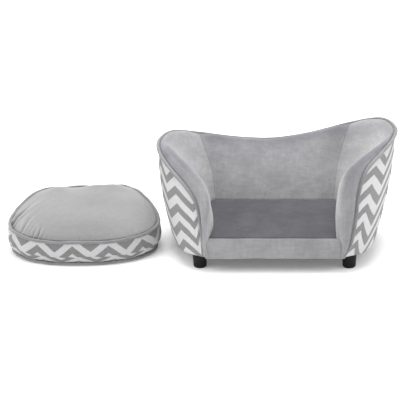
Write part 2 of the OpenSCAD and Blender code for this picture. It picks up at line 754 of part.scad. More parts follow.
module zip_tape() {
  color(black_cloth) in_cushion()
    translate([-zip_l / 2, zip_y, zip_z - zip_tape_w / 2])
      cube([zip_l, zip_tape_t, zip_tape_w]);
}
module zip_coil() {
  color(zip_metal) in_cushion()
    translate([-zip_coil_l / 2, zip_y + zip_tape_t, zip_z - zip_coil_w / 2])
      cube([zip_coil_l, zip_coil_t, zip_coil_w]);
}
module zip_slider() {
  eye = pull_w / 2 + layer_gap;
  color(zip_metal) in_cushion() translate([slider_x, 0, zip_z]) {
    difference() {
      translate([-slider_l / 2, slider_y, -slider_w / 2])
        cube([slider_l, slider_t, slider_w]);
      translate([-slider_l, slider_y - slider_wall,
          -zip_coil_w / 2 - layer_gap])
        cube([2 * slider_l, slider_wall + zip_coil_t + layer_gap,
          zip_coil_w + 2 * layer_gap]);
    }
    for (s = [-1, 1]) translate([-ear_w, slider_y + slider_t - slider_wall / 2,
        s > 0 ? eye / 2 : -eye / 2 - ear_w])
      cube([2 * ear_w, pin_y - slider_y - slider_t + slider_wall, ear_w]);
    translate([0, pin_y, -eye / 2 - ear_w / 2])
      cylinder(h = eye + ear_w, r = pin_r);
  }
}
// The pull lies along the zip, its narrow end on the slider's pin
module zip_pull() {
  neck = pull_w / 2 - layer_gap;
  color(zip_metal) in_cushion() translate([slider_x, pin_y, zip_z])
    difference() {
      union() {
        translate([-pull_w, -pull_t / 2, -neck / 2])
          cube([pull_w, pull_t, neck]);
        translate([0, 0, -neck / 2]) cylinder(h = neck, r = eye_r);
        translate([-pull_l, -pull_t / 2, -pull_w / 2])
          cube([pull_l - pull_w + pull_t / 2, pull_t, pull_w]);
      }
      translate([0, 0, -pull_w]) cylinder(h = 2 * pull_w, r = pin_r + fit_gap);
    }
}

base_plate();
left_bearer();
right_bearer();
front_bearer();
back_bearer();
front_rail();
seat_board();
left_arm_board();
right_arm_board();
back_board();
left_arm_foam();
right_arm_foam();
back_foam();
seat_foam();
seat_cover();
apron_cover();
left_arm_cover();
right_arm_cover();
back_cover();
left_outer_cover();
right_outer_cover();
rear_outer_cover();
rim_piping();
dust_cover();
left_front_foot();
right_front_foot();
left_rear_foot();
right_rear_foot();
left_front_bolt();
right_front_bolt();
left_rear_bolt();
right_rear_bolt();
left_front_nut();
right_front_nut();
left_rear_nut();
right_rear_nut();
cushion_top();
cushion_bottom();
cushion_band();
cushion_upper_piping();
cushion_lower_piping();
cushion_fill();
zip_tape();
zip_coil();
zip_slider();
zip_pull();
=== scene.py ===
# Small upholstered sofa bed for a dog, with a loose zipped cushion beside it.
# Everything is in metres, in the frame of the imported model.
import math

import bpy
import numpy as np
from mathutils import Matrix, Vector, noise


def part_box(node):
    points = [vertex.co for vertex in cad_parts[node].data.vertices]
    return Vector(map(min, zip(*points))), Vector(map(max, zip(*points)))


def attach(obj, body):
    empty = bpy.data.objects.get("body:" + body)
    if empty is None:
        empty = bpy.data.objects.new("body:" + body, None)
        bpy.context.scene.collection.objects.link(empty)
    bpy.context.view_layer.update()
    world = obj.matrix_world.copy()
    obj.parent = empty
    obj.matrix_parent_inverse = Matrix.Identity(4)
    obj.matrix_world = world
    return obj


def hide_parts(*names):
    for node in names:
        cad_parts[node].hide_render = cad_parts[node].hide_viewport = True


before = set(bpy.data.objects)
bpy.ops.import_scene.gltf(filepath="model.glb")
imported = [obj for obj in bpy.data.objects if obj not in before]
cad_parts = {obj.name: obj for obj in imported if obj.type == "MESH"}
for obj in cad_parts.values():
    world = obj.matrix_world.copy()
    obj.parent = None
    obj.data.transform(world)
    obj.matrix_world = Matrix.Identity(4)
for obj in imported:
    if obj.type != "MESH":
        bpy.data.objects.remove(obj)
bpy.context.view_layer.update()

# Sizes of the sofa, as in the solids
SOFA_W, SOFA_D = 0.700, 0.421
RIGHT_WING, LEFT_WING, BACK_H = 0.320, 0.282, 0.243
BASE_W, UNDER, SEAT_H = 0.586, 0.043, 0.104
SEAT_W, SEAT_D = 0.352, 0.284
CORD_R, GAP = 0.0045, 0.0003
SIDE_BULGE, PAD_BULGE, CREST_RISE, TUCK = 0.012, 0.010, 0.024, 0.020
APRON_T = 0.003
HALF_W, HALF_D = SOFA_W / 2 - CORD_R, SOFA_D / 2 - CORD_R
FRONT_Y = -0.985 * HALF_D
SEAM_R, SEAM_DEPTH = CORD_R + 2 * GAP, 0.0018
BULGE_REF = 0.75 * (BACK_H - UNDER)
PEAK = 8  # the row at a wing's highest point
LAST = 11  # the row at the middle of the back
END = 2 * LAST

# Where the sofa and the cushion stand in the frame
base_lo, base_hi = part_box("base_plate")
SHIFT = np.array([(base_lo.x + base_hi.x) / 2,
                  base_lo.y - (FRONT_Y + APRON_T + GAP), 0.0])
CUSHION_AT = SHIFT + np.array([-0.548265, 0.020666, 0.0])
CUSHION_TURN = math.radians(3)

# Rows from the front to the middle of the back: shares of half the width, of
# half the depth, and of the height
RIGHT_RIM = [
    [0.550, -0.976, 0], [0.614, -0.966, 0.16], [0.650, -0.937, 0.41],
    [0.672, -0.854, 0.66], [0.736, -0.640, 0.85], [0.867, -0.218, 0.915],
    [0.971, 0.194, 0.947], [1, 0.510, 0.986], [0.890, 0.806, 1],
    [0.642, 0.942, 0.69], [0.303, 0.990, 0.23], [0, 1, 0]]
LEFT_RIM = [
    [0.540, -0.976, 0], [0.575, -0.966, 0.185], [0.595, -0.937, 0.424],
    [0.627, -0.854, 0.646], [0.723, -0.631, 0.794], [0.864, -0.218, 0.893],
    [0.951, 0.146, 0.959], [0.958, 0.485, 0.996], [0.855, 0.796, 1],
    [0.642, 0.922, 0.615], [0.303, 0.985, 0.10], [0, 1, 0]]
# The crest of the padding beside the rim: its height is a share of CREST_RISE
RIGHT_CREST = [
    [0.540, -0.995, 0], [0.549, -1.010, 0.17], [0.540, -1.018, 0.29],
    [0.540, -0.995, 0.58], [0.572, -0.801, 0.50], [0.711, -0.379, 0.17],
    [0.861, 0.039, -0.12], [0.931, 0.408, -0.33], [0.844, 0.689, -0.29],
    [0.618, 0.825, -0.04], [0.289, 0.874, 0], [0, 0.883, 0.04]]
LEFT_CREST = [
    [0.539, -0.995, 0], [0.566, -1.005, 0.08], [0.553, -1.012, 0.37],
    [0.532, -0.985, 1], [0.584, -0.728, 1.08], [0.702, -0.267, 0.46],
    [0.824, 0.107, 0.17], [0.882, 0.408, -0.04], [0.810, 0.680, -0.08],
    [0.624, 0.816, -0.04], [0.289, 0.874, 0], [0, 0.883, 0.04]]
# The seam round the seat and down the apron's ends
SEAT_EDGE = [
    [1.057, 0, 0], [1.068, -0.007, 0.67], [1, 0.014, 1],
    [0.989, 0.151, 1], [0.989, 0.327, 1], [1.006, 0.556, 1],
    [1.040, 0.768, 1], [1.063, 0.891, 1], [1.057, 0.961, 1],
    [0.977, 0.993, 1], [0.483, 1, 1], [0, 1, 1]]
# the left arm is slimmer low down at its front
LEFT_SEAT_EDGE = [[1.062, 0, 0], [1.098, -0.007, 0.67], [1.058, 0.014, 1],
                  [1.020, 0.151, 1], [0.994, 0.327, 1]] + SEAT_EDGE[5:]
# The lower edge of the covers, in the sofa's plan
BOTTOM_EDGE = [
    [0.640, -0.972], [0.669, -0.937], [0.715, -0.898], [0.783, -0.845],
    [0.876, -0.728], [0.962, -0.413], [1, 0], [0.982, 0.364],
    [0.880, 0.670], [0.687, 0.806], [0.343, 0.864], [0, 0.879]]
TUCKS = [0, 0, 0.5] + [1] * 9  # how far the inside is tucked in beside the seat


def rim_points(rows, wing):
    """The rim's points. Behind the peak, heights are shares above the back's."""
    lows = [UNDER if i <= PEAK else BACK_H for i in range(LAST + 1)]
    return [[a * HALF_W, b * HALF_D, lo + (wing - lo) * c]
            for (a, b, c), lo in zip(rows, lows)]


def both(left, right):
    """A left and a right half joined, left front to right front."""
    return np.array([[-p[0], p[1], p[2]] for p in left]
                    + [list(right[i]) for i in range(LAST - 1, -1, -1)])


right_rim, left_rim = rim_points(RIGHT_RIM, RIGHT_WING), rim_points(LEFT_RIM, LEFT_WING)
RIM = both(left_rim, right_rim)
CREST = both(*[[[a * HALF_W, b * HALF_D, r[2] + c * CREST_RISE]
                for (a, b, c), r in zip(rows, rims)]
               for rows, rims in ((LEFT_CREST, left_rim), (RIGHT_CREST, right_rim))])
SEAT = both(*[[[a * SEAT_W / 2, FRONT_Y + b * SEAT_D, UNDER + (SEAT_H - UNDER) * c]
               for a, b, c in rows] for rows in (LEFT_SEAT_EDGE, SEAT_EDGE)])
bottom_half = [[a * BASE_W / 2, b * HALF_D, UNDER] for a, b in BOTTOM_EDGE]
BOTTOM = both(bottom_half, bottom_half)
TUCK_H = np.array(TUCKS + TUCKS[-2::-1])[:, None] * TUCK


def curve(p, t):
    """Points at places t on a smooth curve through p, along p's first axis."""
    p, t = np.asarray(p, float), np.asarray(t, float)
    n = len(p) - 1
    i = np.clip(np.floor(t).astype(int), 0, n - 1)
    f = (t - i).reshape(t.shape + (1,) * (p.ndim - 1))
    q = np.concatenate([2 * p[:1] - p[1:2], p, 2 * p[n:] - p[n - 1:n]])
    a, b, c, d = q[i], q[i + 1], q[i + 2], q[i + 3]
    return (2 * b + (c - a) * f + (2 * a - 5 * b + 4 * c - d) * f ** 2
            + (3 * b - a - 3 * c + d) * f ** 3) / 2


def unit(v):
    """The directions v, each of length 1."""
    return v / np.maximum(np.linalg.norm(v, axis=-1, keepdims=True), 1e-12)


def along(p, u, step=0.05):
    """The direction in which the curve p runs at places u."""
    return unit(curve(p, np.minimum(u + step, END)) - curve(p, np.maximum(u - step, 0)))


def inward(u):
    """Level and square to the lower edge, into the sofa."""
    t = along(BOTTOM, u)
    return unit(np.stack([t[:, 1], -t[:, 0], 0 * t[:, 0]], 1))


def off_rim(u, v):
    """The part of the directions v that stands square to the rim."""
    t = along(RIM, u)
    return unit(v - t * (v * t).sum(1, keepdims=True))


def ease(x):
    """From 0 to 1 as x does, with a soft start and end."""
    x = np.clip(x, 0, 1)
    return x * x * (3 - 2 * x)


def hump(x, at, wide):
    """A smooth hump: 1 at the place given, and near 0 from twice wide away."""
    return np.exp(-((x - at) / wide) ** 2)


def flat(xy):
    """Points of a plan, lying on the floor."""
    return np.concatenate([xy, 0 * xy[..., :1]], -1)


def rim_frame(u):
    """The rim's points, and beside them: down the outer face, over the
    padding, and away from the body."""
    r = curve(RIM, u)
    down, over = off_rim(u, curve(BOTTOM, u) - r), off_rim(u, curve(CREST, u) - r)
    out = off_rim(u, -(down + over) - 0.8 * inward(u))
    # the last one fades out towards the arms' feet
    full = (ease((u - 0.5) / 1.3) * ease((END - 0.5 - u) / 1.3))[:, None]
    return r, down, over, out * full


def outer_face(u, v):
    """The outer face at stations u and shares v of its height: (u, v, 3)."""
    b = curve(BOTTOM, u)
    r, down, _, _ = rim_frame(u)
    e = r + down * SEAM_R
    swell = np.minimum(1, np.linalg.norm(e - b, axis=1) / BULGE_REF) * SIDE_BULGE
    v = np.asarray(v)[None, :, None]
    return (b[:, None] + (e - b)[:, None] * v
            - inward(u)[:, None] * (swell[:, None, None] * 4 * v * (1 - v)))


def inner_face(u, t):
    """The padded face at stations u and places t, 0 at the rim, 3 at the seat."""
    k, s = curve(CREST, u), curve(SEAT, u)
    r, _, over, out = rim_frame(u)
    seam = r + over * CORD_R * 0.85 - out * SEAM_DEPTH
    m = (k + s) / 2
    to_seat = unit(np.stack([-m[:, 0], -m[:, 1] / 2, 0 * m[:, 0]], 1))
    full = np.minimum(1, np.linalg.norm(k - s, axis=1) / BULGE_REF)
    m = m + to_seat * (PAD_BULGE * full)[:, None]
    return curve(np.stack([seam, k, m, s]), t).transpose(1, 0, 2)


def ripple(p, size, seed=0.0):
    """A smooth field between about -1 and 1, for points (..., 3)."""
    places = np.asarray(p, float).reshape(-1, 3) / size + seed
    values = [noise.noise(Vector(q)) for q in places]
    return np.array(values).reshape(np.shape(p)[:-1]) * 1.6  # noise reaches about 0.6


# Meshes
def make(name, points, faces, attributes=None):
    """A smooth mesh as an object, with vectors for its points by name."""
    mesh = bpy.data.meshes.new(name)
    mesh.from_pydata([tuple(p) for p in points], [], faces)
    mesh.validate()
    for key, values in (attributes or {}).items():
        a = mesh.attributes.new(key, "FLOAT_VECTOR", "POINT")
        a.data.foreach_set("vector", np.asarray(values, np.float32).ravel())
    mesh.polygons.foreach_set("use_smooth", [True] * len(mesh.polygons))
    mesh.update()
    obj = bpy.data.objects.new(name, mesh)
    bpy.context.scene.collection.objects.link(obj)
    return obj


def grid_faces(nu, nv, loop_u=False, loop_v=False, flip=False):
    """The squares between nu rows of nv points, row after row."""
    faces = []
    for i in range(nu if loop_u else nu - 1):
        for j in range(nv if loop_v else nv - 1):
            a, b = i * nv + j, i * nv + (j + 1) % nv
            i2 = (i + 1) % nu
            c, d = i2 * nv + (j + 1) % nv, i2 * nv + j
            faces.append((a, b, c, d) if not flip else (a, d, c, b))
    return faces


def painted_light_and_shade(obj, shade=None):
    """Painted light and shade on a piled piece, kept in its "nap" colour:
    near 1, lower where shade is painted, higher where light is painted.
    """
    n = len(obj.data.vertices)
    shade = np.ones(n) if shade is None else np.ravel(shade)
    a = obj.data.attributes.new("nap", "FLOAT_COLOR", "POINT")
    # the painted shade is cool: its blue darkens a little less
    cool = np.c_[shade, shade, 1 + (shade - 1) * 0.9, np.ones(n)]
    a.data.foreach_set("color", cool.astype(np.float32).ravel())


def sheet(name, p, thick=0.0, flip=False, attributes=None, shift=SHIFT):
    """A grid of points (nu, nv, 3) as a sheet, its normals to the outside."""
    nu, nv = p.shape[:2]
    obj = make(name, p.reshape(-1, 3) + shift, grid_faces(nu, nv, flip=flip),
               {k: np.reshape(a, (-1, 3)) for k, a in (attributes or {}).items()})
    if thick:
        m = obj.modifiers.new("thickness", "SOLIDIFY")
        m.thickness, m.offset, m.use_even_offset = thick, -1, False
    return obj


def tube(name, path, radius, sides, closed=False, shift=SHIFT):
    """A round tube along the path, radius one number or one per point."""
    path = np.asarray(path, float)
    if closed:
        t = unit(np.roll(path, -1, 0) - np.roll(path, 1, 0))
    else:
        t = unit(np.gradient(path, axis=0))
    side = np.cross(t, [0.0, 0.0, 1.0])
    upright = np.linalg.norm(side, axis=1) < 0.35
    side[upright] = np.cross(t[upright], [0.0, 1.0, 0.0])
    side = unit(side)
    for i in range(1, len(side)):
        s = side[i - 1] - t[i] * (side[i - 1] @ t[i])
        side[i] = s / np.linalg.norm(s)
    if closed:  # the turn that is left over is spread along the loop
        end = side[-1] - t[0] * (side[-1] @ t[0])
        end /= np.linalg.norm(end)
        twist = math.atan2(np.cross(side[0], end) @ t[0], side[0] @ end)
        spin = -twist * np.arange(len(side)) / len(side)
    else:
        spin = np.zeros(len(side))
    top = np.cross(side, t)
    g = np.arange(sides) * 2 * math.pi / sides
    g = g[None, :] + spin[:, None]
    r = np.broadcast_to(np.asarray(radius, float), (len(path),))[:, None, None]
    rings = path[:, None] + r * (side[:, None] * np.cos(g)[..., None]
                                 + top[:, None] * np.sin(g)[..., None])
    faces = grid_faces(len(path), sides, loop_u=closed, loop_v=True, flip=True)
    if not closed:
        faces += [tuple(range(sides)),
                  tuple(len(path) * sides - 1 - k for k in range(sides))]
    return make(name, rings.reshape(-1, 3) + shift, faces)


# Materials
class Look:
    """A node material, put together from small calls."""

    def __init__(self, name, **constants):
        self.material = bpy.data.materials.new(name)
        self.material.use_nodes = True
        self.tree = self.material.node_tree
        self.bsdf = self.tree.nodes["Principled BSDF"]
        for key, value in constants.items():
            self.bsdf.inputs[key.replace("_", " ")].default_value = value

    def node(self, kind, output=0, inputs=(), **settings):
        """One output of a new node."""
        n = self.tree.nodes.new("ShaderNode" + kind)
        for key, value in settings.items():
            setattr(n, key, value)
        for key, value in dict(inputs).items():
            self.put(n.inputs[key], value)
        return n.outputs[output]

    def put(self, socket, value):
        """Link an output to a socket, or give the socket a plain value."""
        if isinstance(value, bpy.types.NodeSocket):
            self.tree.links.new(value, socket)
        else:
            socket.default_value = value

    def math(self, operation, a, b=0.0, c=0.0):
        return self.node("Math", 0, {0: a, 1: b, 2: c}, operation=operation)

    def noise(self, scale, detail=2.0, rough=0.5, vector=None):
        return self.node("TexNoise", 0, {
            "Vector": vector or self.place(), "Scale": scale, "Detail": detail,
            "Roughness": rough})

    def place(self):
        return self.node("TexCoord", 3)

    def stretched(self, scale):
        return self.node("Mapping", 0, {"Vector": self.place(), "Scale": scale})

    def split(self, name):
        """The three numbers of a vector attribute."""
        n = self.tree.nodes.new("ShaderNodeSeparateXYZ")
        self.put(n.inputs[0], self.node("Attribute", 1, attribute_name=name))
        return n.outputs

    def span(self, value, lo, hi, to_lo=0.0, to_hi=1.0):
        return self.node("MapRange", 0, {
            "Value": value, "From Min": lo, "From Max": hi, "To Min": to_lo,
            "To Max": to_hi}, interpolation_type="SMOOTHSTEP")

    def mix(self, share, a, b, blend="MIX"):
        n = self.tree.nodes.new("ShaderNodeMix")
        n.data_type, n.blend_type = "RGBA", blend
        self.put(n.inputs[0], share)
        self.put(n.inputs[6], a)  # 6, 7 and 2 are the node's colour sockets
        self.put(n.inputs[7], b)
        return n.outputs[2]

    def bump(self, height, distance, strength, normal=None):
        inputs = {"Height": height, "Distance": distance, "Strength": strength}
        if normal is not None:
            inputs["Normal"] = normal
        return self.node("Bump", 0, inputs)

    def set(self, **links):
        for key, value in links.items():
            self.put(self.bsdf.inputs[key.replace("_", " ")], value)
        return self.material


def grey(v, tint=(1, 1, 1)):
    return (v * tint[0], v * tint[1], v * tint[2], 1.0)


def velvet(name, dark, light, tint, sheen, patch=11.0):
    """Short pile: patches, fine streaks, and a soft sheen, with the painted light
    and shade of the "nap" colour multiplied in.
    """
    k = Look(name, Roughness=0.9, Sheen_Weight=sheen, Sheen_Roughness=0.6,
             Specular_IOR_Level=0.2)
    patches = k.noise(patch, 3.0, 0.55)
    across = k.noise(1.0, 3.0, 0.6, k.stretched((40.0, 50.0, 150.0)))
    down = k.noise(1.0, 3.0, 0.6, k.stretched((110.0, 90.0, 22.0)))
    streaks = k.math("MULTIPLY", k.math("ADD", across, down), 0.5)
    pile = k.noise(1400.0, 2.0, 0.7)
    nap = k.math("ADD", k.math("MULTIPLY", patches, 0.5),
                 k.math("MULTIPLY", streaks, 0.5))
    base = k.mix(k.span(nap, 0.34, 0.68), grey(dark, tint), grey(light, tint))
    marks = k.noise(1.0, 2.0, 0.5, k.stretched((75.0, 60.0, 170.0)))
    base = k.mix(k.span(marks, 0.58, 0.72, 0.0, 0.30), base, grey(dark * 0.8, tint))
    base = k.mix(k.span(pile, 0.3, 0.7, 0.0, 0.12), base, grey(dark * 0.6, tint))
    # painted light and shade: the piece's "nap" colour multiplies the base colour
    painted_light_and_shade = k.node("Attribute", 0, attribute_name="nap")
    base = k.mix(1.0, base, painted_light_and_shade, "MULTIPLY")
    relief = k.bump(streaks, 0.0008, 0.35, k.bump(pile, 0.0004, 0.5))
    return k.set(Base_Color=base, Normal=relief)


THREAD = 0.0011  # from one thread of the weave to the next


def weave(name, tone=1.0):
    """Flat weave with a white and grey zigzag, from the cloth's own places:
    run in half zigzags, height in stripes, and the zigzag's height."""
    k = Look(name, Roughness=0.85, Sheen_Weight=0.15, Sheen_Roughness=0.5,
             Specular_IOR_Level=0.25)
    run, height, amp = k.split("cloth")
    across, up, _ = k.split("thread")
    fray = k.noise(900.0, 1.0, 0.5)
    stripe = k.math("MULTIPLY_ADD", amp, k.math("PINGPONG", run, 1.0), height)
    stripe = k.math("MULTIPLY_ADD", k.math("SUBTRACT", fray, 0.5), 0.05, stripe)
    # grey from each whole number down to the half, white below that
    wave = k.math("FRACT", stripe)
    edge = 0.012  # half the width of the stripes' soft edges
    rise = k.span(wave, 0.5 - edge, 0.5 + edge)
    drop = k.span(wave, 1 - 2 * edge, 1.0, 1.0, 0.0)
    in_grey = k.math("MULTIPLY", rise, drop)
    mottle = k.span(k.noise(260.0, 3.0, 0.7), 0.3, 0.7)
    cool = (1, 0.985, 1)
    white = k.mix(mottle, grey(0.49 * tone, cool), grey(0.56 * tone, cool))
    dark = k.mix(mottle, grey(0.17 * tone), grey(0.23 * tone))
    base = k.mix(in_grey, white, dark)
    threads = 2 * math.pi / THREAD
    warp = k.math("SINE", k.math("MULTIPLY", across, threads))
    weft = k.math("SINE", k.math("MULTIPLY", up, threads))
    relief = k.bump(k.math("MULTIPLY", warp, weft), 0.00025, 0.5)
    soft = k.bump(k.noise(40.0, 2.0), 0.002, 0.15, relief)
    return k.set(Base_Color=base, Normal=soft)


def plain(name, colour, rough, scale, depth, metal=0.0, vary=0.1, gloss=0.5):
    """A plain solid finish, with a fine grain of the scale and depth given."""
    k = Look(name, Roughness=rough, Metallic=metal, Specular_IOR_Level=gloss)
    grain = k.noise(scale, 4.0, 0.6)
    lighter = [min(1.0, c * (1 + vary)) for c in colour]
    darker = [c * (1 - vary) for c in colour]
    base = k.mix(k.span(grain, 0.3, 0.7), (*darker, 1), (*lighter, 1))
    wear = k.span(k.noise(scale / 6, 2.0), 0.3, 0.7, rough * 0.85, min(1, rough * 1.15))
    return k.set(Base_Color=base, Roughness=wear, Normal=k.bump(grain, depth, 0.5))


def plywood(name):
    """Light wood with its grain along X."""
    k = Look(name, Roughness=0.7)
    rings = k.noise(1.0, 4.0, 0.6, k.stretched((6.0, 60.0, 60.0)))
    base = k.mix(k.span(rings, 0.3, 0.7), (0.42, 0.27, 0.13, 1), (0.62, 0.44, 0.24, 1))
    return k.set(Base_Color=base, Normal=k.bump(rings, 0.0005, 0.4))


VELVET = velvet("light_velvet", 0.193, 0.279, (1, 0.997, 1.035), 0.38)
CUSHION_VELVET = velvet("cushion_velvet", 0.150, 0.184, (1, 0.99, 1), 0.45, 7.0)
SEAT_VELVET = velvet("dark_velvet", 0.028, 0.055, (1, 0.97, 1.2), 0.22, 14.0)
CORD_VELVET = velvet("cord_velvet", 0.145, 0.190, (1, 1, 1.02), 0.4, 30.0)
WEAVE = weave("zigzag_weave")
# the cushion's band: the same weave with painted shade, its tones 0.86 of the sofa's
SHADED_BAND_WEAVE = weave("cushion_weave", 0.86)
WOOD = plywood("plywood")
PLASTIC = plain("black_plastic", (0.006, 0.006, 0.007), 0.5, 350.0, 0.0002, gloss=0.16)
STEEL = plain("zinc_steel", (0.62, 0.62, 0.64), 0.35, 500.0, 0.0001, metal=1.0)
ZIP_METAL = plain("zip_metal", (0.42, 0.42, 0.44), 0.4, 700.0, 0.00005, metal=1.0)
CLOTH = plain("black_cloth", (0.02, 0.02, 0.022), 0.95, 900.0, 0.0003, vary=0.35)
TAPE = plain("zip_ribbon_cloth", (0.11, 0.11, 0.115), 0.9, 1200.0, 0.0003, vary=0.3)
PILED = (VELVET, CUSHION_VELVET, SEAT_VELVET, CORD_VELVET)


def dress(obj, material, body, replaced=()):
    """Give a piece its material, body, slot, and the nodes it stands for."""
    # a piled piece with no painted light or shade gets an even "nap" colour of 1
    if material in PILED and "nap" not in obj.data.attributes:
        painted_light_and_shade(obj)
    obj.data.materials.clear()
    obj.data.materials.append(material)
    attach(obj, body)
    if replaced:
        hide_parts(*replaced)


def level_run(p):
    """How far each point of a grid lies along its own level."""
    d = np.linalg.norm(np.diff(p[..., :2], axis=0), axis=-1)
    return np.concatenate([np.zeros((1, p.shape[1])), np.cumsum(d, 0)])


# The outer covers. The zigzag's corners lie on lines across the face, and
# between them "run" grows by one. "height" counts stripes on the line of the
# peaks, and "amp" is how far the zigzag drops, in stripes. On the arms the
# cloth is cut to their slant, so the corners' lines lean and the stripes widen
# upwards; on the back both are even.
BACK_ZIGZAG, BACK_STRIPE = 0.049, 0.046


def zigzag_places(p, u, v, side):
    """These three numbers for each point of the grid p at stations u, shares v."""
    uu, vv = np.meshgrid(u, v, indexing="ij")
    z = p[..., 2]
    if side < 0:
        front, peak, rear = 1.45 + 2.0 * vv, 3.52 + 1.13 * vv, 4.39 + 0.85 * vv
        run = np.where(uu < peak, (uu - peak) / (peak - front),
                       np.where(uu < rear, (uu - peak) / (rear - peak),
                                1 + (uu - rear) / 0.62))
        amp = np.where(uu < peak, 0.6 + 0.18 * (1 - vv),
                       0.79 + 0.25 * ease((uu - rear) / 1.5))
        height = np.interp(z, [-0.008, 0.039, 0.086, 0.133, 0.177, 0.219, 0.261, 0.303],
                           np.arange(-5, 3))
    elif side > 0:
        peak, rear = 19.95 - 2.72 * vv, 18.5 - 2.1 * vv
        run = np.where(uu > peak, (peak - uu) / 2.1,
                       np.where(uu > rear, (peak - uu) / (peak - rear),
                                1 + (rear - uu) / 0.95))
        amp = np.where(uu > peak, 0.5, 1.1)
        height = np.interp(z, [-0.007, 0.044, 0.095, 0.146, 0.191, 0.236, 0.275, 0.316],
                           np.arange(-6, 2))
    else:
        s = level_run(p)
        run = (s - s[len(u) // 2]) / BACK_ZIGZAG
        amp = np.full_like(uu, 1.05)
        height = (z - 0.2) / BACK_STRIPE
    return np.stack([run, height, amp], -1)


def weave_cover(name, node, a, b, side):
    """The outer cover from place a to place b; side is -1 left, 1 right, 0 back."""
    u, v = np.linspace(a, b, int((b - a) / 0.045)), np.linspace(0, 1, 56)
    p = outer_face(u, v)
    places = zigzag_places(p, u, v, side)
    s = level_run(p)
    thread = np.stack([s, p[..., 2], 0 * s], -1)
    p = p - inward(u)[:, None] * (ripple(p, 0.09, 3.1) * 0.0006)[..., None]
    obj = sheet(name, p, thick=0.0015, attributes={"cloth": places, "thread": thread})
    dress(obj, WEAVE, "sofa", [node])


weave_cover("left_side_weave", "left_outer_cover", 0.03, 8.998, -1)
weave_cover("right_side_weave", "right_outer_cover", 13.002, 21.97, 1)
weave_cover("back_weave", "rear_outer_cover", 9.002, 12.998, 0)


# The padded inside: arms and back
WELL = np.array([0, -0.05, 0.12])  # a point over the seat, which they all face
# Patches of painted light and painted shade on the padding: place and reach
# along the rim, place and reach down the face, how much lighter (below 0, darker)
LIGHT_AND_SHADE_PATCHES = [(5.7, 1.4, 0.70, 0.55, -0.34), (5.9, 1.3, 0.15, 0.20, -0.26),
           (4.7, 0.6, 0.70, 0.50, -0.16), (3.1, 0.7, 0.60, 0.40, 0.26),
           (8.5, 0.6, 2.20, 0.70, 0.40), (12.6, 0.5, 2.10, 0.60, 0.20),
           (13.7, 0.7, 2.10, 0.70, 0.54), (14.3, 0.5, 0.60, 0.50, 0.12),
           (16.8, 1.3, 0.70, 0.60, -0.44), (17.6, 0.6, 0.50, 0.40, -0.18),
           (18.8, 0.8, 2.20, 0.70, -0.52), (19.6, 0.9, 1.00, 0.50, 0.16),
           (19.9, 0.7, 2.70, 0.50, -0.26), (20.9, 0.5, 1.60, 1.20, 0.16)]


